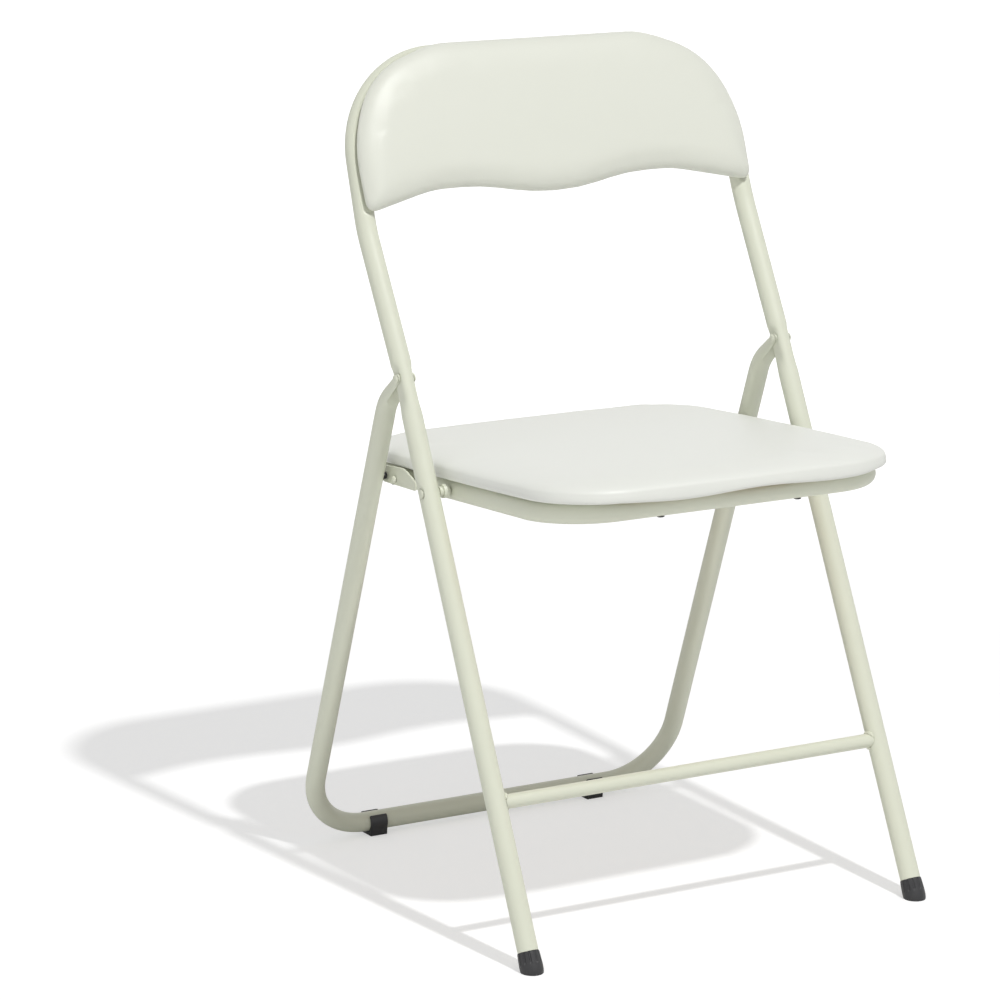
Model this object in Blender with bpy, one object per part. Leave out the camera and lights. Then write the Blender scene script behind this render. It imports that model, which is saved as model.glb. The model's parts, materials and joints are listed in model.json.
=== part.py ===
"""Folding chair of bent steel tube with a padded seat and backrest.

Metres, +Z up, the front of the chair towards -Y, the origin on the floor under the middle of the
chair's box. The front legs and the backrest hoop are one bent tube. The rear legs are a second tube
that hangs on the first at two rivets, and the seat turns on two more. A plate on each side ties the
seat rail to the rear leg, so that the whole chair folds flat when the seat's front edge is lifted.
"""
import math

import bpy
import bmesh
from mathutils import Matrix, Vector

# Tube and fits
TUBE_RADIUS = 0.0095
TUBE_WALL = 0.0012
STRETCHER_RADIUS = 0.0066
STRETCHER_WALL = 0.0010
SEAT_GAP = 0.0003
HOLE_GAP = 0.0002

# Front frame, seen from the side: the legs lean back, a little more above the knee, and less behind the pad
HOOP_HALF_WIDTH = 0.2045
FOOT_SPLAY = 0.0026
LOWER_LEAN = math.radians(25.16)
UPPER_LEAN = math.radians(28.4)
KNEE_HEIGHT = 0.5097
KNEE_BEND_RADIUS = 0.12
BACK_BEND_RISE = 0.127
BACK_BEND_TURN = math.radians(8.5)
BACK_BEND_RADIUS = 0.15
HOOP_RISE = 0.2857
HOOP_CORNER_RADIUS = 0.0962
STRETCHER_HEIGHT = 0.1383

# Black foot plugs, measured along the leg from the floor
CAP_LENGTH = 0.0185
CAP_RADIUS = 0.0106
CAP_LIP_RADIUS = 0.0099
CAP_TOE = 0.0030
CAP_SPIGOT = 0.016

# Rear legs
LEG_PIVOT_HEIGHT = 0.4948
REAR_BAR_BACK = 0.4376
REAR_CORNER_RADIUS = 0.065
REAR_LEG_SETBACK = 0.0205
FORK_LENGTH = 0.046
FORK_SOCKET = 0.012
FORK_TURN = math.radians(30.0)
FORK_BEND_RADIUS = 0.045
FORK_WALL = 0.0015
FORK_LAP = 0.0004
FORK_SIDE_GAP = 0.0007
FORK_END_RADIUS = 0.0068
FORK_WEB_START = 0.0060
FORK_SIDES = 24

# Saddle glides under the rear bar
GLIDE_WIDTH = 0.0185
GLIDE_PLACES = {"left": -0.1292, "right": 0.1190}
GLIDE_SOLE = 0.0035
GLIDE_WALL = 0.0026
GLIDE_FOOT_HALF = 0.0105
GLIDE_MOUTH = math.radians(96.0)

# Rivets
RIVET_RADIUS = 0.0030
RIVET_HEAD_RADIUS = 0.0052
RIVET_HEAD_HEIGHT = 0.0022

# Seat frame, in the seat's own tilted plane, measured from its pivot
SEAT_PIVOT_HEIGHT = 0.3976
SEAT_TILT = math.radians(2.9)
SEAT_SIDE_GAP = 0.0113
SEAT_RAIL_FRONT = 0.182
SEAT_RAIL_REAR = 0.150
SEAT_CORNER_RADIUS = 0.058
PLUG_FLANGE = 0.0018
PLUG_DEPTH = 0.010
SPACER_RADIUS = 0.0064
SPACER_NECK_RADIUS = 0.0046
SPACER_NECK = 0.0035

# Seat pad on its board
SEAT_PAD_OVERHANG = 0.0008
SEAT_PAD_FRONT = 0.2105
SEAT_PAD_REAR = 0.1940
SEAT_PAD_CORNER = 0.075
SEAT_PAD_EDGE = 0.0155
SEAT_PAD_CROWN = 0.0045
SEAT_PAD_BOW = 0.0028
BOARD_THICKNESS = 0.0050
VINYL_WRAP = 0.0018
PAD_SIDE_LOW = 0.25

# Backrest pad, in the plane of the hoop, measured up from the knee
BACK_PAD_PROUD = 0.0052
BACK_PAD_TOP = 0.2936
BACK_PAD_BOTTOM_MIDDLE = 0.1472
BACK_PAD_BOTTOM_ARCH = 0.1578
BACK_PAD_BOTTOM_CORNER = 0.1397
BACK_PAD_WIDEST = 0.2022
BACK_PAD_CORNER_RADIUS = 0.083
BACK_PAD_WAVE_RADIUS = 0.210
BACK_PAD_ARCH_RADIUS = 0.120
BACK_PAD_TIP_RADIUS = 0.010
BACK_PAD_SIDE_RADIUS = 0.116
BACK_PAD_EDGE = 0.0160
BACK_PAD_CROWN = 0.0050

# Screws
SCREW_RADIUS = 0.0020
SCREW_HEAD_RADIUS = 0.0042
SCREW_HEAD_HEIGHT = 0.0015
SCREW_BITE = 0.0035
SEAT_SCREW_SPREAD = 0.0725
SEAT_SCREW_REAR = 0.120
BACK_SCREW_LOW_RISE = 0.205
BACK_SCREW_HIGH_RISE = 0.258
BACK_SCREW_INSET = 0.0025

# Link plates between the seat rails and the rear legs
LINK_THICKNESS = 0.0020
LINK_LEG_GAP = 0.0040
LINK_SEAT_PIN_SHARE = 0.526
LINK_SEAT_PIN_DROP = 0.0035
LINK_LEG_PIN_DROP = 0.0050
LINK_REAR_RADIUS = 0.0085
LINK_FRONT_RADIUS = 0.0048
LINK_CROWN = 0.0050
LINK_PIN_RADIUS = 0.0025
LINK_PIN_HEAD_RADIUS = 0.0038
LINK_PIN_HEAD_HEIGHT = 0.0015
LINK_SPACER_RADIUS = 0.0050
LINK_STUD_AHEAD = 0.0125
LINK_STUD_DROP = 0.0022
LINK_STUD_RADIUS = 0.0035
LINK_STUD_HEIGHT = 0.0028

# Facets
TUBE_SIDES = 20
SMALL_SIDES = 14
BEND_STEP = math.radians(10.0)

SIDES = (("left", -1), ("right", 1))


# Materials
def material(name, colour, roughness, metallic=0.0):
    made = bpy.data.materials.new(name)
    made.use_nodes = True
    shader = made.node_tree.nodes["Principled BSDF"]
    shader.inputs["Base Color"].default_value = (*colour, 1.0)
    shader.inputs["Roughness"].default_value = roughness
    shader.inputs["Metallic"].default_value = metallic
    made.diffuse_color = (*colour, 1.0)
    return made


# Paths and outlines
def bend_path(corners, radii, closed=False):
    """Points along straight runs with an arc of the given radius at each corner."""
    count = len(corners)
    turns = []
    reaches = []
    for index, corner in enumerate(corners):
        before = corners[index - 1] - corner
        after = corners[(index + 1) % count] - corner
        turns.append(math.pi - before.angle(after))
        ended = not closed and index in (0, count - 1)
        reaches.append(0.0 if ended else radii[index] * math.tan(turns[index] / 2))

    points = []
    for index, corner in enumerate(corners):
        if reaches[index] < 1e-6:
            points.append(corner.copy())
            continue
        before = corners[index - 1] - corner
        after = corners[(index + 1) % count] - corner
        wanted = reaches[index]
        shares = [0.98 * before.length / (wanted + reaches[index - 1])]
        shares.append(0.98 * after.length / (wanted + reaches[(index + 1) % count]))
        reach = wanted * min(1.0, *shares)
        turn = turns[index]
        radius = reach / math.tan(turn / 2)
        start = corner + before.normalized() * reach
        middle = corner + (before.normalized() + after.normalized()).normalized() * radius / math.cos(turn / 2)
        arm = start - middle
        across = -before.normalized()
        steps = max(2, math.ceil(turn / BEND_STEP))
        for step in range(steps + 1):
            angle = turn * step / steps
            points.append(middle + arm * math.cos(angle) + across * radius * math.sin(angle))
    return points


def circle(radius, sides, place):
    """A ring of points about the local Z axis of a place."""
    ring = []
    for index in range(sides):
        angle = 2 * math.pi * index / sides
        ring.append(place @ Vector((radius * math.cos(angle), radius * math.sin(angle), 0.0)))
    return ring


def arc(radius, first, last):
    """Points of an arc about the origin, between two angles."""
    steps = max(2, math.ceil(abs(last - first) / BEND_STEP))
    angles = [first + (last - first) * step / steps for step in range(steps + 1)]
    return [Vector((radius * math.cos(angle), radius * math.sin(angle))) for angle in angles]


# Solids
def loft(name, rings, finish, ring_shaped=False):
    """A closed solid through rings of as many points each; ring-shaped joins the last to the first."""
    shape = bmesh.new()
    rows = [[shape.verts.new(point) for point in ring] for ring in rings]
    pairs = list(zip(rows, rows[1:]))
    if ring_shaped:
        pairs.append((rows[-1], rows[0]))
    else:
        shape.faces.new(rows[0])
        shape.faces.new(rows[-1])
    for low, high in pairs:
        for index in range(len(low)):
            following = (index + 1) % len(low)
            shape.faces.new((low[index], low[following], high[following], high[index]))
    bmesh.ops.recalc_face_normals(shape, faces=shape.faces)
    mesh = bpy.data.meshes.new(name)
    shape.to_mesh(mesh)
    shape.free()
    mesh.shade_smooth()
    mesh.set_sharp_from_angle(angle=math.radians(35.0))
    mesh.materials.append(finish)
    made = bpy.data.objects.new(name, mesh)
    bpy.context.scene.collection.objects.link(made)
    return made


def frames(path, upright):
    """Places along a path, with Z along the run and X square to the upright direction."""
    places = []
    for index, point in enumerate(path):
        ahead = path[min(index + 1, len(path) - 1)] - point
        behind = point - path[max(index - 1, 0)]
        along = (ahead.normalized() + behind.normalized()).normalized()
        across = upright.cross(along).normalized()
        turned_to = Matrix((across, along.cross(across), along)).transposed()
        places.append(Matrix.Translation(point) @ turned_to.to_4x4())
    return places


def tube(name, path, upright, radius, wall, finish):
    """A hollow tube along a path, open at both ends."""
    places = frames(path, upright)
    outer = [circle(radius, TUBE_SIDES, place) for place in places]
    bore = [circle(radius - wall, TUBE_SIDES, place) for place in reversed(places)]
    return loft(name, outer + bore, finish, ring_shaped=True)


def turned(name, profile, place, finish, bored=False):
    """A turned solid: (radius, height) pairs about the Z axis of a place."""
    rings = [circle(radius, SMALL_SIDES, place @ Matrix.Translation((0, 0, height))) for radius, height in profile]
    return loft(name, rings, finish, ring_shaped=bored)


def slab(name, outline, place, low, high, finish):
    """A flat solid: an outline in the XY plane of a place, between two heights along its Z."""
    rings = [[place @ Vector((point.x, point.y, height)) for point in outline] for height in (low, high)]
    return loft(name, rings, finish)


def cutter(made):
    made.hide_render = True
    made.display_type = "WIRE"
    return made


def combine(body, tool, operation):
    step = body.modifiers.new(tool.name, "BOOLEAN")
    step.operation = operation
    step.object = cutter(tool)


def drill(body, place, radius, low, high):
    """Cuts a round hole along the Z axis of a place."""
    hole = turned(body.name + "_hole", [(radius, low), (radius, high)], place, body.data.materials[0])
    hole.parent = body.parent
    combine(body, hole, "DIFFERENCE")


def sideways(point, side):
    """A place on the chair's side whose Z axis points out to that side."""
    return Matrix.Translation(point) @ Matrix.Rotation(side * math.pi / 2, 4, "Y")


# Places in the side view, before the whole chair is centred on its origin
def front_leg(height):
    """A point on the right front leg's axis."""
    share = height / KNEE_HEIGHT
    if share <= 1.0:
        spread = HOOP_HALF_WIDTH + FOOT_SPLAY * (1.0 - share)
        return Vector((spread, height * math.tan(LOWER_LEAN), height))
    back = KNEE_HEIGHT * math.tan(LOWER_LEAN) + (height - KNEE_HEIGHT) * math.tan(UPPER_LEAN)
    return Vector((HOOP_HALF_WIDTH, back, height))


def sided(point, side):
    return Vector((side * point.x, point.y, point.z))


KNEE = front_leg(KNEE_HEIGHT)
LEG_PIVOT = front_leg(LEG_PIVOT_HEIGHT)
SEAT_PIVOT = front_leg(SEAT_PIVOT_HEIGHT)
REAR_BAR = Vector((0.0, REAR_BAR_BACK, TUBE_RADIUS + GLIDE_SOLE))

# The rear leg's axis passes behind its pivot by the setback, and ends in the rear bar's axis
_to_bar = Vector((REAR_BAR.y - LEG_PIVOT.y, REAR_BAR.z - LEG_PIVOT.z))
_leg_angle = math.atan2(_to_bar.y, _to_bar.x) - math.asin(REAR_LEG_SETBACK / _to_bar.length)
LEG_DOWN = Vector((0.0, math.cos(_leg_angle), math.sin(_leg_angle)))
LEG_BACK = Vector((0.0, -LEG_DOWN.z, LEG_DOWN.y))
LEG_TOP = Vector((0.0, LEG_PIVOT.y, LEG_PIVOT.z)) + LEG_BACK * REAR_LEG_SETBACK
REAR_HALF_WIDTH = LEG_PIVOT.x

SEAT_RAIL_HALF = SEAT_PIVOT.x - SEAT_SIDE_GAP - 2 * TUBE_RADIUS
SEAT_PAD_HALF = SEAT_RAIL_HALF + TUBE_RADIUS + SEAT_PAD_OVERHANG
LINK_OUTER = REAR_HALF_WIDTH - TUBE_RADIUS - LINK_LEG_GAP
LINK_INNER = LINK_OUTER - LINK_THICKNESS
UPPER_PLANE = Matrix.Translation((0.0, KNEE.y, KNEE.z)) @ Matrix.Rotation(math.pi / 2 - UPPER_LEAN, 4, "X")
_bend = Matrix.Translation((0.0, BACK_BEND_RISE, 0.0))
HOOP_PLANE = UPPER_PLANE @ _bend @ Matrix.Rotation(BACK_BEND_TURN, 4, "X") @ _bend.inverted()
BACK_FACE = TUBE_RADIUS + SEAT_GAP


def rear_leg(height):
    """A point on the rear leg's axis, in the middle plane."""
    return LEG_TOP + LEG_DOWN * ((height - LEG_TOP.z) / LEG_DOWN.z)


# The seat pin stands at its share of the way from the seat's pivot to the pin in the rear leg
LINK_LEG_PIN = rear_leg(SEAT_PIVOT_HEIGHT - LINK_LEG_PIN_DROP)
LINK_SEAT_PIN_BACK = LINK_SEAT_PIN_SHARE * (LINK_LEG_PIN.y - SEAT_PIVOT.y)


# Front frame
def front_frame_path():
    """The tube's axis, from the right foot by the knee, the back bend and the hoop's corners to the left foot."""
    foot = front_leg((CAP_LENGTH + SEAT_GAP) * math.cos(LOWER_LEAN))
    bend = HOOP_PLANE @ Vector((HOOP_HALF_WIDTH, BACK_BEND_RISE, 0.0))
    top = HOOP_PLANE @ Vector((HOOP_HALF_WIDTH, HOOP_RISE, 0.0))
    half = [foot, KNEE, bend, top]
    corners = half + [sided(point, -1) for point in reversed(half)]
    bends = [0.0, KNEE_BEND_RADIUS, BACK_BEND_RADIUS, HOOP_CORNER_RADIUS]
    return bend_path(corners, bends + bends[::-1])


def hoop_half_at(rise):
    """Half the width between the hoop's two sides, at a rise above the knee."""
    flat = HOOP_PLANE.inverted()
    path = [flat @ point for point in front_frame_path()]
    for low, high in zip(path, path[1:]):
        if low.y <= rise < high.y:
            return low.x + (high.x - low.x) * (rise - low.y) / (high.y - low.y)
    raise ValueError("the hoop doesn't reach this rise")


def make_front_frame(paint, plastic):
    normal = HOOP_PLANE.to_3x3() @ Vector((0.0, 0.0, 1.0))
    frame = tube("front_frame_tube", front_frame_path(), normal, TUBE_RADIUS, TUBE_WALL, paint)
    hole = RIVET_RADIUS + HOLE_GAP
    for _, side in SIDES:
        for pivot in (LEG_PIVOT, SEAT_PIVOT):
            drill(frame, sideways(sided(pivot, side), side), hole, -2 * TUBE_RADIUS, 2 * TUBE_RADIUS)

    middle = front_leg(STRETCHER_HEIGHT)
    ends = [Vector((-middle.x, middle.y, middle.z)), middle]
    stretcher = tube("front_stretcher", ends, Vector((0, 0, 1)), STRETCHER_RADIUS, STRETCHER_WALL, paint)
    for name, side in SIDES:
        reach = 4 * TUBE_RADIUS
        legs = [sided(front_leg(STRETCHER_HEIGHT + shift), side) for shift in (-reach, reach)]
        rings = [circle(TUBE_RADIUS + SEAT_GAP, TUBE_SIDES, place) for place in frames(legs, normal)]
        combine(stretcher, loft("cope_" + name, rings, paint), "DIFFERENCE")

        foot = sided(front_leg(0.0), side)
        along = (sided(front_leg(STRETCHER_HEIGHT), side) - foot).normalized()
        place = Matrix.Translation(foot) @ along.to_track_quat("Z", "Y").to_matrix().to_4x4()
        make_foot_cap("front_foot_cap_" + name, place, plastic)
    return frame


def make_foot_cap(name, place, plastic):
    """A plug in the tube's end, a little wider than the tube below it and cut flat at the floor."""
    spigot = TUBE_RADIUS - TUBE_WALL - SEAT_GAP
    profile = [
        (0.85 * spigot, CAP_LENGTH + CAP_SPIGOT),
        (spigot, CAP_LENGTH + 0.8 * CAP_SPIGOT),
        (spigot, CAP_LENGTH),
        (CAP_LIP_RADIUS, CAP_LENGTH),
        (CAP_RADIUS, 0.5 * CAP_LENGTH),
        (CAP_RADIUS, CAP_TOE - 0.3 * CAP_RADIUS),
        (CAP_RADIUS - CAP_TOE, -0.5 * CAP_RADIUS),
        (CAP_RADIUS - CAP_TOE, -CAP_RADIUS),
    ]
    rings = [circle(radius, TUBE_SIDES, place @ Matrix.Translation((0, 0, rise))) for radius, rise in profile]
    cap = loft(name, rings, plastic)
    shape = bmesh.new()
    shape.from_mesh(cap.data)
    everything = shape.verts[:] + shape.edges[:] + shape.faces[:]
    sliced = bmesh.ops.bisect_plane(
        shape, geom=everything, plane_co=(0, 0, 0), plane_no=(0, 0, -1), clear_outer=True
    )
    rim = [item for item in sliced["geom_cut"] if isinstance(item, bmesh.types.BMEdge)]
    bmesh.ops.edgeloop_fill(shape, edges=rim)
    bmesh.ops.recalc_face_normals(shape, faces=shape.faces)
    shape.to_mesh(cap.data)
    shape.free()


# Rivets and screws
def rivet(name, place, near, far, radius, head_radius, head_height, finish):
    """A rivet along the Z axis of a place, with a low dome outside each of two faces."""
    rim = 0.35 * head_height
    profile = [
        (0.45 * head_radius, near - head_height),
        (0.85 * head_radius, near - 0.65 * head_height),
        (head_radius, near - rim),
        (head_radius, near),
        (radius, near),
        (radius, far),
        (head_radius, far),
        (head_radius, far + rim),
        (0.85 * head_radius, far + 0.65 * head_height),
        (0.45 * head_radius, far + head_height),
    ]
    return turned(name, profile, place, finish)


def screw(name, place, length, finish):
    """A round-head screw whose shank runs up the Z axis from under its head."""
    profile = [
        (0.5 * SCREW_HEAD_RADIUS, -SCREW_HEAD_HEIGHT),
        (0.9 * SCREW_HEAD_RADIUS, -0.6 * SCREW_HEAD_HEIGHT),
        (SCREW_HEAD_RADIUS, 0.0),
        (SCREW_RADIUS, 0.0),
        (SCREW_RADIUS, length),
    ]
    return turned(name, profile, place, finish)


def screw_through(name, body, board, place, finish):
    """A screw through a tube at the origin of a place and into the board ahead of it."""
    start = -TUBE_RADIUS - SEAT_GAP
    hole = SCREW_RADIUS + HOLE_GAP
    drill(body, place, hole, 2 * start, -2 * start)
    drill(board, place, hole, 0.0, BACK_FACE + SCREW_BITE + HOLE_GAP)
    length = BACK_FACE + SCREW_BITE - start
    return screw(name, place @ Matrix.Translation((0, 0, start)), length, finish)


# Pads
def ring_of(outline, middle, half, inset, rise):
    """The outline drawn in by an inset on every side, at a rise above its plane."""
    across = 1.0 - inset / half.x
    along = 1.0 - inset / half.y
    ring = []
    for point in outline:
        away = point - middle
        ring.append(Vector((middle.x + away.x * across, middle.y + away.y * along, rise)))
    return ring


def padded(name, outline, edge, crown, finish):
    """A pad wrapped over a board: a recess for the board, soft sides and a crowned top."""
    low = Vector((min(point.x for point in outline), min(point.y for point in outline)))
    high = Vector((max(point.x for point in outline), max(point.y for point in outline)))
    middle = (low + high) / 2
    half = (high - low) / 2
    roof = BOARD_THICKNESS + SEAT_GAP
    rows = [
        (VINYL_WRAP, roof),
        (VINYL_WRAP, 0.0),
        (0.4 * VINYL_WRAP, 0.0),
        (0.0, PAD_SIDE_LOW * edge),
        (0.0, 0.50 * edge),
        (0.10 * edge, 0.74 * edge),
        (0.32 * edge, 0.91 * edge),
        (0.62 * edge, edge),
    ]
    rings = [ring_of(outline, middle, half, inset, rise) for inset, rise in rows]
    first = 0.62 * edge / half.y
    for share in (0.30, 0.50, 0.72, 0.90):
        inset = first + (1.0 - first) * share
        rise = edge + crown * (1.0 - (1.0 - share) ** 2.4)
        ring = []
        for point in outline:
            away = point - middle
            oval = away / math.hypot(away.x / half.x, away.y / half.y)
            spot = middle + away.lerp(oval, share) * (1.0 - inset)
            ring.append(Vector((spot.x, spot.y, rise)))
        rings.append(ring)
    pad = loft(name, rings, finish)
    board = [point.to_2d() for point in ring_of(outline, middle, half, VINYL_WRAP + SEAT_GAP, 0.0)]
    return pad, board


def carried(made, parent, place):
    made.parent = parent
    made.matrix_local = place
    return made


# Backrest
def backrest_outline():
    """The right half from the bottom's middle round to the top, then the left half."""
    half = HOOP_HALF_WIDTH + BACK_PAD_PROUD
    corners = [
        Vector((0.12 * half, BACK_PAD_BOTTOM_MIDDLE)),
        Vector((0.38 * half, BACK_PAD_BOTTOM_ARCH)),
        Vector((0.64 * half, BACK_PAD_BOTTOM_ARCH)),
        Vector((0.99 * half, BACK_PAD_BOTTOM_CORNER)),
        Vector((half, BACK_PAD_WIDEST)),
        Vector((0.88 * half, BACK_PAD_WIDEST + 0.732 * (BACK_PAD_TOP - BACK_PAD_WIDEST))),
        Vector((0.54 * half, BACK_PAD_TOP)),
    ]
    radii = [
        BACK_PAD_WAVE_RADIUS,
        BACK_PAD_WAVE_RADIUS,
        BACK_PAD_ARCH_RADIUS,
        BACK_PAD_TIP_RADIUS,
        BACK_PAD_SIDE_RADIUS,
        BACK_PAD_CORNER_RADIUS,
        BACK_PAD_CORNER_RADIUS,
    ]
    mirrored = [Vector((-point.x, point.y)) for point in reversed(corners)]
    return bend_path(corners + mirrored, radii + radii[::-1], closed=True)


def make_backrest(frame, vinyl, wood, steel):
    place = HOOP_PLANE @ Matrix.Translation((0.0, 0.0, BACK_FACE))
    pad, outline = padded("backrest_pad", backrest_outline(), BACK_PAD_EDGE, BACK_PAD_CROWN, vinyl)
    pad.matrix_world = place
    board = slab("backrest_board", outline, place, 0.0, BOARD_THICKNESS, wood)
    for level, rise in (("lower", BACK_SCREW_LOW_RISE), ("upper", BACK_SCREW_HIGH_RISE)):
        for name, side in SIDES:
            across = hoop_half_at(rise) - BACK_SCREW_INSET
            spot = HOOP_PLANE @ Matrix.Translation((side * across, rise, 0.0))
            screw_through("backrest_screw_{}_{}".format(level, name), frame, board, spot, steel)


# Rear legs
def fork_bend():
    """The corner of the bent end's axis: back from the pivot, and down along the leg."""
    return Vector((REAR_LEG_SETBACK, REAR_LEG_SETBACK / math.tan(FORK_TURN)))


def fork_rings(place):
    """Sections up the bent end: round like the leg at first, then wide and flat, with a round tip."""
    wide = TUBE_RADIUS + FORK_SIDE_GAP + FORK_WALL
    socket = Vector((REAR_LEG_SETBACK, FORK_LENGTH + FORK_SOCKET))
    forward = -Vector((math.sin(FORK_TURN), math.cos(FORK_TURN)))
    path = bend_path([socket, fork_bend(), Vector((0.0, 0.0))], [0.0, FORK_BEND_RADIUS, 0.0])
    for share in (0.55, 0.85, 0.98):
        path.append(forward * FORK_END_RADIUS * share)
    length = sum((high - low).length for low, high in zip(path, path[1:]))
    rings = []
    gone = 0.0
    for index, point in enumerate(path):
        ahead = path[min(index + 1, len(path) - 1)]
        behind = path[max(index - 1, 0)]
        gone += (point - behind).length
        share = min(1.0, gone / (length - FORK_END_RADIUS))
        along = (ahead - behind).normalized()
        back = Vector((-along.y, along.x))
        past = max(0.0, forward.dot(point))
        deep = TUBE_RADIUS + FORK_LAP + (FORK_END_RADIUS - TUBE_RADIUS - FORK_LAP) * share ** 2
        deep = math.sqrt(max(0.0, deep ** 2 - past ** 2))
        across = TUBE_RADIUS + FORK_LAP + (wide - TUBE_RADIUS - FORK_LAP) * min(1.0, 1.6 * share)
        power = 2.0 / (2.0 + 4.0 * share)
        ring = []
        for step in range(FORK_SIDES):
            angle = 2 * math.pi * step / FORK_SIDES
            side = math.copysign(abs(math.cos(angle)) ** power, math.cos(angle)) * across
            depth = math.copysign(abs(math.sin(angle)) ** power, math.sin(angle)) * deep
            spot = point + back * depth
            ring.append(place @ Vector((spot.x, spot.y, side)))
        rings.append(ring)
    return rings


def fork_slot():
    """The room between the fork's cheeks, open to the front and over the top."""
    clear = 6 * FORK_END_RADIUS
    back = REAR_LEG_SETBACK + TUBE_RADIUS - FORK_WALL
    fillet = FORK_BEND_RADIUS * (1.0 / math.cos(FORK_TURN / 2) - 1.0)
    inside = TUBE_RADIUS - FORK_WALL - fillet
    bend = fork_bend() + Vector((math.cos(FORK_TURN / 2), -math.sin(FORK_TURN / 2))) * inside
    return [
        Vector((-clear, -clear)),
        Vector((clear, -clear)),
        Vector((clear, FORK_WEB_START)),
        Vector((TUBE_RADIUS + FORK_SIDE_GAP, FORK_WEB_START)),
        bend,
        Vector((back, FORK_LENGTH)),
        Vector((-clear, FORK_LENGTH)),
    ]


def make_rear_legs(axis, paint, plastic):
    pivot = Vector((0.0, LEG_PIVOT.y, LEG_PIVOT.z))
    bar = REAR_BAR - pivot
    top = LEG_BACK * REAR_LEG_SETBACK + LEG_DOWN * (FORK_LENGTH + 0.4 * FORK_SOCKET)
    corners = [
        Vector((REAR_HALF_WIDTH, top.y, top.z)),
        Vector((REAR_HALF_WIDTH, bar.y, bar.z)),
        Vector((-REAR_HALF_WIDTH, bar.y, bar.z)),
        Vector((-REAR_HALF_WIDTH, top.y, top.z)),
    ]
    path = bend_path(corners, [0.0, REAR_CORNER_RADIUS, REAR_CORNER_RADIUS, 0.0])
    legs = tube("rear_leg_tube", path, LEG_BACK, TUBE_RADIUS, TUBE_WALL, paint)
    legs.parent = axis

    cheek = TUBE_RADIUS + FORK_SIDE_GAP
    for name, side in SIDES:
        # X runs back from the pivot, Y runs down along the leg, Z runs across the chair
        across = LEG_BACK.cross(LEG_DOWN)
        turn = Matrix((LEG_BACK, LEG_DOWN, across)).transposed().to_4x4()
        place = Matrix.Translation((side * REAR_HALF_WIDTH, 0, 0)) @ turn
        fork = loft("fork_" + name, fork_rings(place), paint)
        slot = slab("fork_slot_" + name, fork_slot(), place, -cheek, cheek, paint)
        middle = place @ Matrix.Translation((REAR_LEG_SETBACK, FORK_LENGTH, 0))
        bore_place = middle @ Matrix.Rotation(-math.pi / 2, 4, "X")
        bore_radius = TUBE_RADIUS - TUBE_WALL - FORK_LAP
        bore_profile = [(bore_radius, -FORK_SOCKET), (bore_radius, 2 * FORK_SOCKET)]
        bore = turned("fork_bore_" + name, bore_profile, bore_place, paint)
        for tool, operation in ((fork, "UNION"), (slot, "DIFFERENCE"), (bore, "DIFFERENCE")):
            tool.parent = axis
            combine(legs, tool, operation)
        rivet_hole = sideways((side * REAR_HALF_WIDTH, 0, 0), side)
        drill(legs, rivet_hole, RIVET_RADIUS + HOLE_GAP, -4 * TUBE_RADIUS, 4 * TUBE_RADIUS)

        pin = LINK_LEG_PIN - pivot
        pin_hole = sideways((side * REAR_HALF_WIDTH, pin.y, pin.z), side)
        drill(legs, pin_hole, LINK_PIN_RADIUS + HOLE_GAP, -2 * TUBE_RADIUS, 0.0)
        make_link_leg_pin(name, side, pin, axis, paint, plastic)

        glide = make_glide("rear_glide_" + name, plastic)
        carried(glide, axis, Matrix.Translation((GLIDE_PLACES[name], bar.y, bar.z)))

    wide = cheek + FORK_WALL + SEAT_GAP
    for name, side in SIDES:
        place = sideways(sided(LEG_PIVOT, side), side)
        head = (RIVET_RADIUS, RIVET_HEAD_RADIUS, RIVET_HEAD_HEIGHT)
        rivet("leg_pivot_rivet_" + name, place, -wide, wide, *head, paint)


def make_glide(name, plastic):
    """A saddle round the rear bar, open at the top, with a flat foot on the floor."""
    inside = TUBE_RADIUS + SEAT_GAP
    outside = inside + GLIDE_WALL
    floor = -(TUBE_RADIUS + GLIDE_SOLE)
    lip = (math.pi - GLIDE_MOUTH) / 2
    foot = [Vector((GLIDE_FOOT_HALF, floor)), Vector((-GLIDE_FOOT_HALF, floor))]
    outline = arc(outside, lip, -math.radians(25.0)) + foot
    outline += arc(outside, -math.pi + math.radians(25.0), -math.pi - lip)
    outline += arc(inside, -math.pi - lip, lip)
    across = Matrix(((0, 0, 1), (1, 0, 0), (0, 1, 0))).to_4x4()
    return slab(name, outline, across, -GLIDE_WIDTH / 2, GLIDE_WIDTH / 2, plastic)


# Seat
def seat_outline():
    """A square with round corners whose sides bow out a little between them."""
    corners = [
        Vector((SEAT_PAD_HALF, -SEAT_PAD_FRONT)),
        Vector((SEAT_PAD_HALF, SEAT_PAD_REAR)),
        Vector((-SEAT_PAD_HALF, SEAT_PAD_REAR)),
        Vector((-SEAT_PAD_HALF, -SEAT_PAD_FRONT)),
    ]
    rounded = bend_path(corners, [SEAT_PAD_CORNER] * 4, closed=True)
    straights = []
    for point, following in zip(rounded, rounded[1:] + rounded[:1]):
        straights.append(point)
        if (following - point).length > SEAT_PAD_CORNER:
            for share in (0.25, 0.50, 0.75):
                outward = (point - following).orthogonal().normalized()
                if outward.dot(point) < 0:
                    outward.negate()
                bow = 4 * share * (1 - share) * SEAT_PAD_BOW
                straights.append(point.lerp(following, share) + outward * bow)
    return straights


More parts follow.
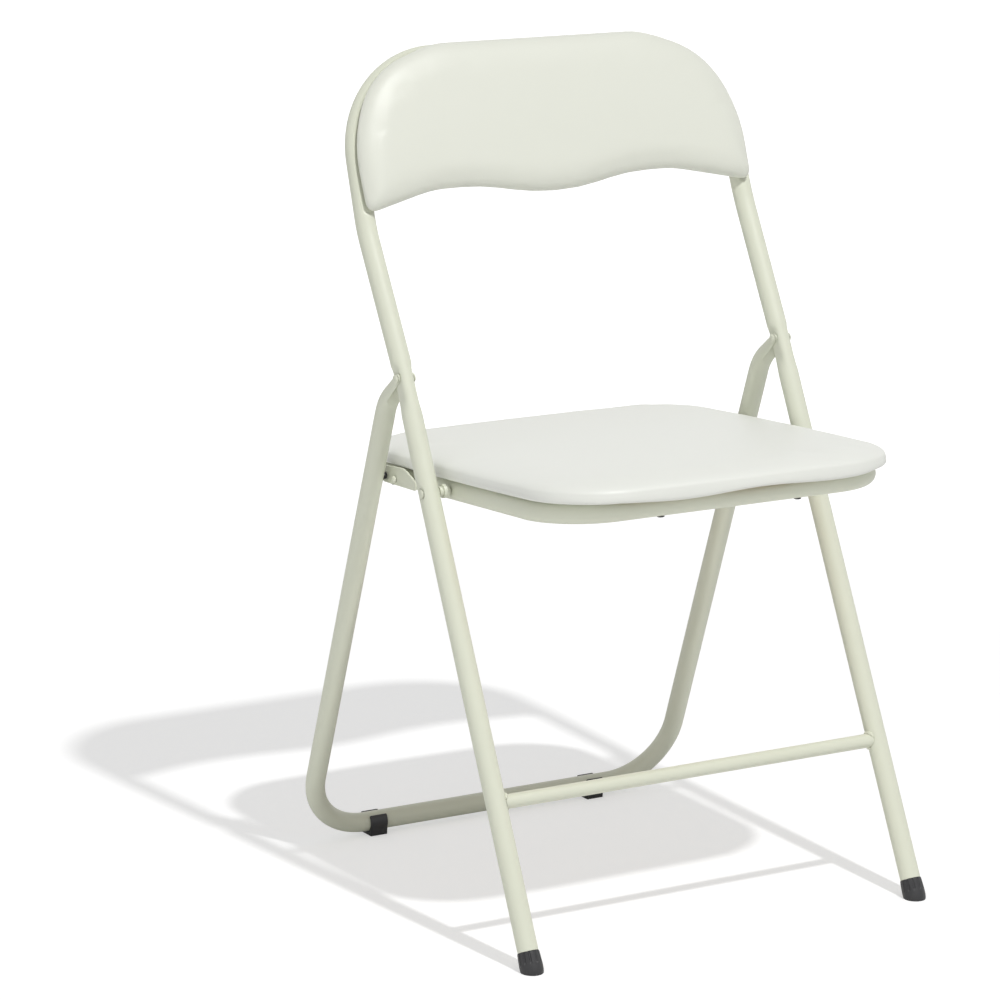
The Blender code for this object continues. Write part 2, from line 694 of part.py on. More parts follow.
def make_seat(axis, paint, plastic, vinyl, wood, steel):
    corners = [
        Vector((SEAT_RAIL_HALF, SEAT_RAIL_REAR, 0.0)),
        Vector((SEAT_RAIL_HALF, -SEAT_RAIL_FRONT, 0.0)),
        Vector((-SEAT_RAIL_HALF, -SEAT_RAIL_FRONT, 0.0)),
        Vector((-SEAT_RAIL_HALF, SEAT_RAIL_REAR, 0.0)),
    ]
    path = bend_path(corners, [0.0, SEAT_CORNER_RADIUS, SEAT_CORNER_RADIUS, 0.0])
    rail = tube("seat_frame_tube", path, Vector((0, 0, 1)), TUBE_RADIUS, TUBE_WALL, paint)
    rail.parent = axis

    lift = Matrix.Translation((0.0, 0.0, BACK_FACE))
    pad, outline = padded("seat_pad", seat_outline(), SEAT_PAD_EDGE, SEAT_PAD_CROWN, vinyl)
    carried(pad, axis, lift)
    board = slab("seat_board", outline, lift, 0.0, BOARD_THICKNESS, wood)
    board.parent = axis

    spots = {"front": (SEAT_SCREW_SPREAD, -SEAT_RAIL_FRONT), "rear": (SEAT_RAIL_HALF, SEAT_SCREW_REAR)}
    for name, side in SIDES:
        for end, (across, back) in spots.items():
            place = Matrix.Translation((side * across, back, 0.0))
            screw_through("seat_screw_{}_{}".format(end, name), rail, board, place, steel).parent = axis
        make_seat_pivot(name, side, rail, axis, paint)
        make_link_seat_pin(name, side, rail, axis, paint)
        make_plug(name, side, axis, plastic)


def make_plug(name, side, axis, plastic):
    """A push-in plug in the open rear end of the seat rail."""
    spigot = TUBE_RADIUS - TUBE_WALL - SEAT_GAP
    profile = [
        (0.8 * spigot, -PLUG_DEPTH),
        (spigot, -0.8 * PLUG_DEPTH),
        (spigot, SEAT_GAP),
        (TUBE_RADIUS, SEAT_GAP),
        (TUBE_RADIUS, 0.6 * PLUG_FLANGE),
        (0.85 * TUBE_RADIUS, PLUG_FLANGE),
    ]
    place = Matrix.Translation((side * SEAT_RAIL_HALF, SEAT_RAIL_REAR, 0)) @ Matrix.Rotation(-math.pi / 2, 4, "X")
    turned("seat_tube_plug_" + name, profile, place, plastic).parent = axis


def make_seat_pivot(name, side, rail, axis, paint):
    """The seat's rivet through the leg, a spacer and the rail, along the pivot's own axis."""
    place = sideways((side * SEAT_RAIL_HALF, 0, 0), side)
    hole = RIVET_RADIUS + HOLE_GAP
    drill(rail, place, hole, -2 * TUBE_RADIUS, 2 * TUBE_RADIUS)
    near = TUBE_RADIUS + SEAT_GAP
    far = TUBE_RADIUS + SEAT_SIDE_GAP - SEAT_GAP
    shoulder = far - SPACER_NECK
    profile = [
        (hole, near),
        (SPACER_RADIUS, near),
        (SPACER_RADIUS, shoulder),
        (SPACER_NECK_RADIUS, shoulder),
        (SPACER_NECK_RADIUS, far),
        (hole, far),
    ]
    turned("seat_pivot_spacer_" + name, profile, place, paint, bored=True).parent = axis
    outside = SEAT_PIVOT.x + TUBE_RADIUS + SEAT_GAP - SEAT_RAIL_HALF
    head = (RIVET_RADIUS, RIVET_HEAD_RADIUS, RIVET_HEAD_HEIGHT)
    rivet("seat_pivot_rivet_" + name, place, -near, outside, *head, paint).parent = axis


# Link plates
def make_link_seat_pin(name, side, rail, axis, paint):
    """The pin on the seat rail that the plate's front end turns on."""
    place = sideways((side * SEAT_RAIL_HALF, LINK_SEAT_PIN_BACK, -LINK_SEAT_PIN_DROP), side)
    drill(rail, place, LINK_PIN_RADIUS + HOLE_GAP, 0.0, 2 * TUBE_RADIUS)
    inner = math.sqrt((TUBE_RADIUS - TUBE_WALL) ** 2 - LINK_SEAT_PIN_DROP ** 2) - 2 * LINK_PIN_HEAD_HEIGHT
    head = inner - LINK_PIN_HEAD_HEIGHT
    far = LINK_INNER - SEAT_GAP - SEAT_RAIL_HALF
    profile = [
        (LINK_PIN_RADIUS, head),
        (LINK_PIN_RADIUS, far),
    ]
    turned("link_seat_pin_" + name, profile, place, paint).parent = axis


def make_link_leg_pin(name, side, pin, axis, paint, plastic):
    """The pin in the rear leg that the plate's rear end turns on, with a spacer round it."""
    place = sideways((side * REAR_HALF_WIDTH, pin.y, pin.z), side)
    flush = LINK_INNER - REAR_HALF_WIDTH
    inside = -(TUBE_RADIUS - TUBE_WALL) + 2 * LINK_PIN_HEAD_HEIGHT
    profile = [
        (LINK_PIN_RADIUS, flush),
        (LINK_PIN_RADIUS, inside),
        (LINK_PIN_HEAD_RADIUS, inside),
        (LINK_PIN_HEAD_RADIUS, inside + LINK_PIN_HEAD_HEIGHT),
    ]
    turned("link_leg_pin_" + name, profile, place, paint).parent = axis
    hole = LINK_PIN_RADIUS + HOLE_GAP
    near = LINK_OUTER + SEAT_GAP - REAR_HALF_WIDTH
    far = -TUBE_RADIUS - SEAT_GAP
    spacer = [(hole, near), (LINK_SPACER_RADIUS, near), (LINK_SPACER_RADIUS, far), (hole, far)]
    turned("link_spacer_" + name, spacer, place, plastic, bored=True).parent = axis


def link_seat_pin_place():
    """The seat pin in the side view, in the chair's own frame."""
    back = LINK_SEAT_PIN_BACK * math.cos(SEAT_TILT) - LINK_SEAT_PIN_DROP * math.sin(SEAT_TILT)
    down = LINK_SEAT_PIN_BACK * math.sin(SEAT_TILT) + LINK_SEAT_PIN_DROP * math.cos(SEAT_TILT)
    return Vector((0.0, SEAT_PIVOT.y + back, SEAT_PIVOT.z - down))


def link_outline(length):
    """From the rear pivot at the origin to the front pivot: flat below, arched above."""
    corners = [
        Vector((LINK_REAR_RADIUS, -LINK_REAR_RADIUS)),
        Vector((LINK_REAR_RADIUS, LINK_REAR_RADIUS)),
        Vector((-0.45 * length, LINK_REAR_RADIUS + LINK_CROWN)),
        Vector((-length - LINK_FRONT_RADIUS, LINK_FRONT_RADIUS)),
        Vector((-length - LINK_FRONT_RADIUS, -LINK_FRONT_RADIUS)),
    ]
    radii = [0.7 * LINK_REAR_RADIUS, LINK_REAR_RADIUS, 0.035, 0.8 * LINK_FRONT_RADIUS, 0.6 * LINK_FRONT_RADIUS]
    return bend_path(corners, radii, closed=True)


def make_links(parents, paint):
    reach = link_seat_pin_place() - LINK_LEG_PIN
    length = reach.length
    tilt = math.atan2(-reach.z, -reach.y)
    for name, side in SIDES:
        # X runs back along the plate, Y runs up, Z runs across the chair
        lie = Matrix.Rotation(tilt, 4, "X") @ Matrix(((0, 0, 1), (1, 0, 0), (0, 1, 0))).to_4x4()
        inner, outer = sorted((side * LINK_INNER, side * LINK_OUTER))
        plate = slab("link_plate_" + name, link_outline(length), lie, inner, outer, paint)
        plate.parent = parents[name]
        hole = LINK_PIN_RADIUS + HOLE_GAP
        drill(plate, lie, hole, inner - LINK_THICKNESS, outer + LINK_THICKNESS)

        spot = lie @ Vector((-LINK_STUD_AHEAD, -LINK_STUD_DROP, 0.0))
        place = sideways((side * LINK_OUTER, spot.y, spot.z), side)
        shank = 0.5 * LINK_STUD_RADIUS
        drill(plate, place, shank + HOLE_GAP, -2 * LINK_THICKNESS, LINK_THICKNESS)
        profile = [
            (shank, -LINK_THICKNESS),
            (shank, SEAT_GAP),
            (LINK_STUD_RADIUS, SEAT_GAP),
            (LINK_STUD_RADIUS, 0.4 * LINK_STUD_HEIGHT),
            (0.80 * LINK_STUD_RADIUS, 0.8 * LINK_STUD_HEIGHT),
            (0.40 * LINK_STUD_RADIUS, LINK_STUD_HEIGHT),
        ]
        turned("link_stud_" + name, profile, place, paint).parent = parents[name]


# The whole chair
def pivot_axis(name, place, parent):
    """An empty on a joint's axis, which the pieces that turn about it hang on."""
    axis = bpy.data.objects.new(name, None)
    axis.empty_display_size = 0.05
    bpy.context.scene.collection.objects.link(axis)
    axis.parent = parent
    axis.matrix_local = place
    return axis


def build():
    for old in list(bpy.data.objects):
        bpy.data.objects.remove(old, do_unlink=True)

    paint = material("sage_powder_coat", (0.70, 0.72, 0.62), 0.45)
    vinyl = material("sage_vinyl", (0.76, 0.77, 0.69), 0.50)
    plastic = material("black_plastic", (0.02, 0.02, 0.022), 0.55)
    wood = material("plywood", (0.55, 0.42, 0.28), 0.70)
    steel = material("dark_screw_steel", (0.20, 0.20, 0.20), 0.40, 1.0)

    edge_rise = BACK_FACE + PAD_SIDE_LOW * SEAT_PAD_EDGE
    reach = SEAT_PAD_FRONT + SEAT_PAD_BOW
    front = SEAT_PIVOT.y - reach * math.cos(SEAT_TILT) + edge_rise * math.sin(SEAT_TILT)
    rear = REAR_BAR.y + TUBE_RADIUS + SEAT_GAP + GLIDE_WALL
    chair = pivot_axis("chair", Matrix.Translation((0.0, -(front + rear) / 2, 0.0)), None)
    leg_axis = pivot_axis("rear_leg_axis", Matrix.Translation((0.0, LEG_PIVOT.y, LEG_PIVOT.z)), chair)
    tilt = Matrix.Rotation(-SEAT_TILT, 4, "X")
    seat_axis = pivot_axis("seat_axis", Matrix.Translation((0.0, SEAT_PIVOT.y, SEAT_PIVOT.z)) @ tilt, chair)
    link_axes = {}
    for name, _ in SIDES:
        link_axes[name] = pivot_axis("link_axis_" + name, Matrix.Translation(LINK_LEG_PIN), chair)

    frame = make_front_frame(paint, plastic)
    make_backrest(frame, vinyl, wood, steel)
    make_rear_legs(leg_axis, paint, plastic)
    make_seat(seat_axis, paint, plastic, vinyl, wood, steel)
    make_links(link_axes, paint)
    for made in bpy.data.objects:
        if made.parent is None and made is not chair:
            made.parent = chair


build()
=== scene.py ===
import json
import math

import bmesh
import bpy
import numpy
from mathutils import Matrix, Vector

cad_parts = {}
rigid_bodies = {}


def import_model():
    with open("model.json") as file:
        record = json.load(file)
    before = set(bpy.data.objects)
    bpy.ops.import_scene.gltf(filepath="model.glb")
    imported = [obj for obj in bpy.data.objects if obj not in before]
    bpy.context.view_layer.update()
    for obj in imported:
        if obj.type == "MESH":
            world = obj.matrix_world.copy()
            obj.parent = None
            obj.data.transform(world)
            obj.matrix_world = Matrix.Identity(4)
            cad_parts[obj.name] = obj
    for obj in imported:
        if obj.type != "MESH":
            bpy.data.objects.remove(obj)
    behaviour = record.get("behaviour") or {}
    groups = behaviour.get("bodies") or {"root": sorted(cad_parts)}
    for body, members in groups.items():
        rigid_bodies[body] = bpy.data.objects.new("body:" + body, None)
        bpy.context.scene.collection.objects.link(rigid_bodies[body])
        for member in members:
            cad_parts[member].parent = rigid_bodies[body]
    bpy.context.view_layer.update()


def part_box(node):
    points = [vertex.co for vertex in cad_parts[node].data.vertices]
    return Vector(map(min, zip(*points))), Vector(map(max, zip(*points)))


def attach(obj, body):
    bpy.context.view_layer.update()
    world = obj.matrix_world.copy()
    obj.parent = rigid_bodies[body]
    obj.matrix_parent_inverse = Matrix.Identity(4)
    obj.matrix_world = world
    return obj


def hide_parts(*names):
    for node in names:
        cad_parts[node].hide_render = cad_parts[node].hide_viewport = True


for old in list(bpy.data.objects):
    bpy.data.objects.remove(old)
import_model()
scene = bpy.context.scene


# Camera
# A long lens somewhat higher than the backrest, ahead of the chair and off to the left as one faces it, so
# that the chair is seen three-quarters on.
stand = Vector((-1.93578, -3.136311, 1.17716))
aim = Vector((-0.1408, -0.042211, 0.387))
roll = math.radians(-0.097)
lens = bpy.data.cameras.new("camera")
lens.sensor_width = 36.0
lens.lens = 145.74


def put_in(name, data):
    """A new object in the scene."""
    made = bpy.data.objects.new(name, data)
    scene.collection.objects.link(made)
    return made


camera = put_in("camera", lens)
facing = (aim - stand).to_track_quat("-Z", "Y").to_matrix().to_4x4()
camera.matrix_world = Matrix.Translation(stand) @ facing @ Matrix.Rotation(roll, 4, "Z")
scene.camera = camera


# Floor and light
# A white sweep of studio floor under a bright, even tent, with one lamp high in front of the chair that
# throws the shadow behind it, and a wide dim panel at one side. What is seen past the floor is plain white.
class Thread:
    """One output among a material's nodes. Sums and products of threads add the Math nodes for them."""

    def __init__(self, tree, socket):
        self.tree = tree
        self.socket = socket

    def node(self, kind, settings, sockets, output=0):
        made = self.tree.nodes.new(kind)
        for name, value in settings.items():
            setattr(made, name, value)
        for name, value in sockets.items():
            if isinstance(value, Thread):
                self.tree.links.new(value.socket, made.inputs[name])
            else:
                made.inputs[name].default_value = value
        return Thread(self.tree, made.outputs[output])

    def maths(self, operation, first, second):
        return self.node("ShaderNodeMath", {"operation": operation}, {0: first, 1: second})

    def __add__(self, other):
        return self.maths("ADD", self, other)

    def __mul__(self, other):
        return self.maths("MULTIPLY", self, other)

    def noise(self, scale, detail, **more):
        """Cloudy noise over the coordinates that this thread carries."""
        return self.node("ShaderNodeTexNoise", {}, {"Vector": self, "Scale": scale, "Detail": detail, **more})

    def shades(self, low, high):
        """A colour between two, by this thread's value."""
        return self.node("ShaderNodeMix", {"data_type": "RGBA"}, {0: self, 6: low, 7: high}, output=2)

    def bump(self, strength, distance):
        """A normal that this thread's value raises."""
        return self.node("ShaderNodeBump", {}, {"Strength": strength, "Distance": distance, "Height": self})


scene.view_settings.view_transform = "Standard"
tent = bpy.data.worlds.new("studio_tent")
tent.use_nodes = True
scene.world = tent
tent_light = 0.42
wires = tent.node_tree
path = Thread(wires, wires.nodes.new("ShaderNodeLightPath").outputs["Is Camera Ray"])
ways = path.socket.node.outputs
seen = path.maths("MAXIMUM", path, Thread(wires, ways["Is Glossy Ray"]))
seen = seen.maths("MAXIMUM", seen, Thread(wires, ways["Is Transmission Ray"]))
glow = wires.nodes["Background"]
glow.inputs["Color"].default_value = (1.0, 1.0, 1.0, 1.0)
wires.links.new((seen * (1.0 - tent_light) + tent_light).socket, glow.inputs["Strength"])

lamp = bpy.data.lights.new("front_lamp", "POINT")
lamp.energy = 23.3
lamp.shadow_soft_size = 0.065
lamp.use_nodes = True
wires = lamp.node_tree
falloff = wires.nodes.new("ShaderNodeLightFalloff")
falloff.inputs["Strength"].default_value = 1.0
wires.links.new(falloff.outputs["Constant"], wires.nodes["Emission"].inputs["Strength"])
put_in("front_lamp", lamp).location = (0.051, -1.924, 3.58)

fill = bpy.data.lights.new("side_panel", "AREA")
fill.energy = 16.5
fill.size = 2.4
fill_stand = put_in("side_panel", fill)
fill_stand.location = (-3.6, -1.2, 1.3)
fill_stand.rotation_euler = Vector((3.6, 1.2, -0.9)).to_track_quat("-Z", "Y").to_euler()
fill_stand.visible_glossy = False


def new_finish(name, constants):
    """A new material, its shader, and the Object coordinates that its patterns lie on."""
    made = bpy.data.materials.new(name)
    made.use_nodes = True
    tree = made.node_tree
    shader = tree.nodes["Principled BSDF"]
    for socket, value in constants.items():
        shader.inputs[socket].default_value = value
    return made, shader, Thread(tree, tree.nodes.new("ShaderNodeTexCoord").outputs["Object"])


bpy.ops.mesh.primitive_grid_add(x_subdivisions=8, y_subdivisions=8, size=40.0)
floor = bpy.context.object
floor.name = "studio_floor"
matt_white = {"Base Color": (0.90, 0.90, 0.90, 1.0), "Roughness": 0.9, "Specular IOR Level": 0.0}
white_floor, matt, spot = new_finish("white_floor", matt_white)
wires = white_floor.node_tree
path = Thread(wires, wires.nodes.new("ShaderNodeLightPath").outputs["Is Camera Ray"])
lit = path.node("ShaderNodeEmission", {}, {"Color": (1.0, 1.0, 1.0, 1.0), "Strength": 1.40})
away = spot.node(
    "ShaderNodeVectorMath", {"operation": "DISTANCE"}, {0: spot, 1: (-0.10, 0.30, 0.0)}, output="Value"
)
past = spot.node(
    "ShaderNodeMapRange",
    {"interpolation_type": "SMOOTHSTEP"},
    {"Value": away, "From Min": 0.9, "From Max": 2.0},
)
glow_near, glow_rise = 0.35, 0.40
share = path * (past * glow_rise + glow_near)
mixed = path.node("ShaderNodeMixShader", {}, {0: share, 1: Thread(wires, matt.outputs["BSDF"]), 2: lit})
wires.links.new(mixed.socket, wires.nodes["Material Output"].inputs["Surface"])
floor.data.materials.append(white_floor)


# Front frame tube
# One thin-walled steel tube, bent into both front legs and the hoop behind the backrest, and powder coated
# pale sage. A slight knee tips the legs back, a bend under the pad brings the hoop more upright, and the tube
# is pressed flat or dimpled where other pieces meet it.
tube_radius = 0.0095
tube_bore = 0.0083
fit_gap = 0.0003
leg_lean = math.radians(25.16)
upper_lean = math.radians(28.4)
knee_height = 0.5097
foot = Vector((0.2071, -0.212211, 0.0))
knee = Vector((0.2045, foot.y + knee_height * math.tan(leg_lean), knee_height))
upper_place = Matrix.Translation((0.0, knee.y, knee.z)) @ Matrix.Rotation(math.pi / 2 - upper_lean, 4, "X")
back_bend_rise = 0.127
back_bend_turn = math.radians(8.5)
bend_rise = Matrix.Translation((0.0, back_bend_rise, 0.0))
hoop_place = upper_place @ bend_rise @ Matrix.Rotation(back_bend_turn, 4, "X") @ bend_rise.inverted()
leg_pivot_height, seat_pivot_height = 0.4948, 0.3976
across = Vector((1.0, 0.0, 0.0))
weld = 1e-6


def leg_at(height):
    """A point on the right front leg's axis."""
    return foot.lerp(knee, height / knee_height)


def on_side(point, side):
    """A point of the right side as it is, or its like on the left."""
    return Vector((side * point.x, point.y, point.z))


def mirrored(point):
    return on_side(point, -1)


def both_halves(half):
    """A row of points, and then their likes on the left, back to the first."""
    return half + [mirrored(point) for point in reversed(half)]


def only(piece):
    """Leaves one piece selected and active."""
    bpy.ops.object.select_all(action="DESELECT")
    piece.select_set(True)
    bpy.context.view_layer.objects.active = piece


def open_mesh():
    """Goes into edit mode, with everything selected."""
    bpy.ops.object.mode_set(mode="EDIT")
    bpy.ops.mesh.select_all(action="SELECT")


def close_mesh():
    bpy.ops.object.mode_set(mode="OBJECT")


def named(name):
    """Names the primitive just added, and moves its place into its mesh."""
    piece = bpy.context.object
    piece.name = piece.data.name = name
    bpy.ops.object.transform_apply()
    return piece


def ring(name, radius, at, along, sides=40):
    """A new piece, in edit mode, that is only a ring of points square to a direction."""
    turn = along.to_track_quat("Z", "Y").to_euler()
    bpy.ops.mesh.primitive_circle_add(vertices=sides, radius=radius, location=at, rotation=turn)
    piece = named(name)
    open_mesh()
    return piece


def draw_out(by):
    bpy.ops.mesh.extrude_region_move(TRANSFORM_OT_translate={"value": tuple(by)})


def run_along(corners, radii, step=math.radians(3.0)):
    """Draws what is selected along straight runs, and spins it round a bend at each corner."""
    here = corners[0]
    for index in range(1, len(corners) - 1):
        corner = corners[index]
        coming = (corner - corners[index - 1]).normalized()
        going = (corners[index + 1] - corner).normalized()
        turn = coming.angle(going)
        if turn < 1e-3:
            draw_out(corner - here)
            here = corner
            continue
        reach = radii[index] * math.tan(turn / 2)
        start = corner - coming * reach
        if (start - here).length > weld:
            draw_out(start - here)
        middle = corner + (going - coming).normalized() * radii[index] / math.cos(turn / 2)
        axis = coming.cross(going).normalized()
        # Spin turns the other way round its axis
        bpy.ops.mesh.spin(steps=max(2, math.ceil(turn / step)), angle=-turn, center=middle, axis=axis)
        here = corner + going * reach
    draw_out(corners[-1] - here)


def pick(test):
    """Selects only the points that pass a test, with the edges and faces between them."""
    bpy.ops.mesh.select_mode(type="VERT")
    bpy.ops.mesh.select_all(action="DESELECT")
    shape = bmesh.from_edit_mesh(bpy.context.object.data)
    for point in shape.verts:
        point.select = test(point.co)
    shape.select_flush(True)
    bmesh.update_edit_mesh(bpy.context.object.data)


def sink_bore(at, inward, depth):
    """Turns the ring at a tube's end in to the bore, and sinks the bore."""
    pick(lambda spot: abs((spot - at).dot(inward)) < 1e-5 and (spot - at).length < 1.2 * tube_radius)
    draw_out((0.0, 0.0, 0.0))
    bpy.ops.transform.resize(value=(tube_bore / tube_radius,) * 3, center_override=at)
    draw_out(inward * depth)
    bpy.ops.mesh.edge_face_add()


def closed_up(piece, angle=35.0):
    """Merges what meets, points every face out, and shades all but the sharp edges smooth."""
    only(piece)
    open_mesh()
    bpy.ops.mesh.remove_doubles(threshold=weld)
    bpy.ops.mesh.normals_make_consistent()
    close_mesh()
    bpy.ops.object.shade_smooth_by_angle(angle=math.radians(angle))


def put_away(*pieces):
    for piece in pieces:
        bpy.data.objects.remove(piece)


def cut(piece, tool):
    """Cuts a tool's shape out of a piece, and puts the tool away."""
    step = piece.modifiers.new("cut", "BOOLEAN")
    step.operation = "DIFFERENCE"
    step.solver = "EXACT"
    step.object = tool
    only(piece)
    bpy.ops.object.modifier_apply(modifier="cut")
    put_away(tool)


def drill(piece, at, radius, length):
    """A round hole across a piece."""
    turn = across.to_track_quat("Z", "Y").to_euler()
    bpy.ops.mesh.primitive_cylinder_add(vertices=32, radius=radius, depth=length, location=at, rotation=turn)
    cut(piece, named("drill_bit"))


def feed(shader, threads):
    for socket, thread in threads.items():
        thread.tree.links.new(thread.socket, shader.inputs[socket])


def settle(piece, finish, body, slot, *nodes):
    """Gives a piece its finish and its body, and hides the CAD nodes that it stands for. The slot is not
    used.
    """
    piece.data.materials.clear()
    piece.data.materials.append(finish)
    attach(piece, body)
    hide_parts(*nodes)


sage_paint = (0.700, 0.718, 0.598, 1.0)
sage_paint_thin = (0.672, 0.692, 0.566, 1.0)
powder_coat, shader, spot = new_finish("sage_powder_coat_finish", {"Specular IOR Level": 0.5})
cloud = spot.noise(11.0, 3.0)
peel = spot.noise(620.0, 2.0, Roughness=0.45)
speck = spot.noise(2400.0, 1.0)
tone = cloud.shades(sage_paint_thin, sage_paint)
skin = (peel + speck * 0.25).bump(0.35, 0.00006)
feed(shader, {"Base Color": tone, "Roughness": cloud * 0.10 + speck * 0.06 + 0.33, "Normal": skin})


def coated(piece, body, *nodes):
    """Settles a steel piece in the powder coat."""
    settle(piece, powder_coat, body, "sage_powder_coat", *nodes)


leg_pivot = leg_at(leg_pivot_height)
seat_pivot = leg_at(seat_pivot_height)
flat_half = 0.0068
flat_from, flat_low, flat_high, flat_to = -0.036, -0.018, 0.0065, 0.0130
dimple_floor, dimple_radius, dimple_rim = 0.0072, 0.0048, 0.0070
rest_depth, rest_start, rest_end = 0.0018, 0.1392, 0.1435
leg_up = (knee - foot).normalized()


def eased(share):
    """A share from 0 to 1 with a soft start and a soft end."""
    share = min(1.0, max(0.0, share))
    return share * share * (3.0 - 2.0 * share)


def pressed(spot):
    """Where a point of the tube's right half goes: flat sides at the leg pivot, a dimple at the seat pivot,
    and a flat for the pad to rest on."""
    up = (spot - leg_pivot).dot(leg_up)
    middle = leg_pivot + leg_up * up
    out = spot.x - middle.x
    flat = eased((up - flat_from) / (flat_low - flat_from)) * eased((flat_to - up) / (flat_to - flat_high))
    out += (out / (1.0 + (abs(out) / flat_half) ** 6) ** (1 / 6) - out) * flat
    beside = (spot - seat_pivot).yz.length
    if beside < dimple_rim:
        sunk = eased((dimple_rim - beside) / (dimple_rim - dimple_radius))
        out = min(out, tube_radius - (tube_radius - dimple_floor) * sunk)
    spot = hoop_place.inverted() @ Vector((middle.x + out, spot.y, spot.z))
    if spot.y > rest_start:
        sunk = eased((spot.y - rest_start) / (rest_end - rest_start))
        spot.z = min(spot.z, tube_radius - rest_depth * sunk)
    return hoop_place @ spot


leg_end_height = 0.017017
knee_bend, back_bend, corner_bend = 0.12, 0.15, 0.0975
plug_bore = 0.024
rivet_hole, bit_length = 0.0032, 0.04
hoop_low, hoop_high = Vector((0.2056, back_bend_rise, 0.0)), Vector((0.2012, 0.2857, 0.0))
rest_rings = [hoop_low.lerp(hoop_high, 0.072 + 0.010 * step) for step in range(5)]
hoop_half = [hoop_low, *rest_rings, hoop_high]
dimple_step, flat_step = 0.0014, 0.0022
right_side = [leg_at(leg_end_height)]
right_side += [leg_at(seat_pivot_height + dimple_step * step) for step in range(-8, 9)]
right_side += [leg_at(leg_pivot_height + flat_step * step) for step in range(-16, 5)]
bends = [0.0] * len(right_side) + [knee_bend, back_bend] + [0.0] * len(rest_rings) + [corner_bend]
right_side += [knee] + [hoop_place @ corner for corner in hoop_half]
corners = both_halves(right_side)
front_tube = ring("front_tube", tube_radius, corners[0], leg_up)
run_along(corners, bends + bends[::-1])
sink_bore(corners[0], leg_up, plug_bore)
sink_bore(corners[-1], mirrored(leg_up), plug_bore)
close_mesh()
for point in front_tube.data.vertices:
    point.co = pressed(point.co.copy()) if point.co.x > 0.0 else mirrored(pressed(mirrored(point.co)))
for middle in (seat_pivot, mirrored(seat_pivot)):
    drill(front_tube, middle, rivet_hole, bit_length)
closed_up(front_tube)
coated(front_tube, "front_frame", "front_frame_tube")


# Front stretcher
# A thinner steel tube whose ends are coped to the legs and held by two short runs of weld each, put on
# before the powder coat, so that the beads are the same colour.
stretcher_radius, stretcher_height = 0.0066, 0.1383
stretcher_end = leg_at(stretcher_height)
both_sides = (("left", -1), ("right", 1))
leg_square = Vector((0.0, math.cos(leg_lean), -math.sin(leg_lean)))


def leg_face(spot, stand_off):
    """How far out the inner face of the leg is, at a spot beside the stretcher's axis."""
    beside = (spot - Vector((spot.x, stretcher_end.y, stretcher_end.z))).dot(leg_square)
    reach = math.sqrt(max(0.0, (tube_radius + stand_off) ** 2 - beside ** 2))
    return leg_at(spot.z).x - reach


stretcher = ring("stretcher_tube", stretcher_radius, mirrored(stretcher_end), across)
draw_out((2 * stretcher_end.x, 0.0, 0.0))
close_mesh()
for point in stretcher.data.vertices:
    point.co.x = math.copysign(leg_face(point.co, fit_gap), point.co.x)
open_mesh()
for side in (-1, 1):
    pick(lambda spot: spot.x * side > 0)
    bpy.ops.mesh.edge_face_add()
close_mesh()
closed_up(stretcher)
coated(stretcher, "front_frame", "front_stretcher")

bead_radius = 0.0015
bead_line = stretcher_radius + 0.3 * bead_radius
axis_point = Vector((0.0, stretcher_end.y, stretcher_end.z))
for name, side in both_sides:
    for place, start, turn in (("top", 40.0, 115.0), ("under", 232.0, 70.0)):
        angle = math.radians(start)
        outward = Vector((0.0, -math.cos(angle), math.sin(angle)))
        begin = axis_point + outward * bead_line
        heading = Vector((0.0, math.sin(angle), math.cos(angle)))
        bead = ring("weld_bead_{}_{}".format(place, name), bead_radius, begin, heading, 12)
        bpy.ops.mesh.edge_face_add()
        bpy.ops.mesh.spin(steps=36, angle=math.radians(turn), center=axis_point, axis=across)
        close_mesh()
        for point in bead.data.vertices:
            away = Vector((0.0, *(point.co - axis_point).yz))
            along = math.degrees(math.atan2(away.z, -away.y)) % 360.0
            share = (along - start) / turn
            swell = 0.55 + 0.45 * math.sin(math.pi * min(1.0, max(0.0, share))) ** 0.5
            swell *= 1.0 + 0.16 * abs(math.sin(math.radians(along) * 16))
            middle = axis_point + away.normalized() * bead_line
            middle.x = 0.0
            shaped = middle + (point.co - middle) * swell
            shaped.x += side * leg_face(middle, 0.4 * bead_radius)
            point.co = shaped
        closed_up(bead, 60.0)
        coated(bead, "front_frame")


# Front foot plugs
# Black moulded plastic plugs pushed up into the leg ends. Grooves run down their upper half, the toe below
# them is plain and round, and the sole is cut to lie flat on the floor.
black = (0.018, 0.018, 0.020, 1.0)
black_worn = (0.034, 0.034, 0.036, 1.0)
black_plastic, shader, spot = new_finish("black_plastic_finish", {"Specular IOR Level": 0.5})
grain = spot.noise(1500.0, 3.0)
cloud = spot.noise(60.0, 3.0)
tone = cloud.shades(black, black_worn)
skin = grain.bump(0.4, 0.00008)
feed(shader, {"Base Color": tone, "Roughness": cloud * 0.16 + grain * 0.08 + 0.34, "Normal": skin})

plug_rows = [
    (0.0068, 0.0345), (0.0080, 0.0325), (0.0080, 0.0186), (0.0094, 0.0186), (0.0099, 0.0181),
    (0.01005, 0.0168), (0.0102, 0.0148), (0.0103, 0.0128), (0.0104, 0.0110), (0.01045, 0.0098),
    (0.0105, 0.0090), (0.01055, 0.0083), (0.0106, 0.0077), (0.0106, 0.0070), (0.0106, 0.0062),
    (0.0106, 0.0040), (0.0105, 0.0015), (0.0101, -0.0010), (0.0090, -0.0040), (0.0080, -0.0080),
]
groove_count = 12
groove_half = math.radians(6.0)
groove_depth = 0.0008
groove_end, groove_round = 0.0084, 0.0013
plug_skirt, groove_floor = 0.0090, 0.006
sole_height, sole_round = 0.00005, 0.0012


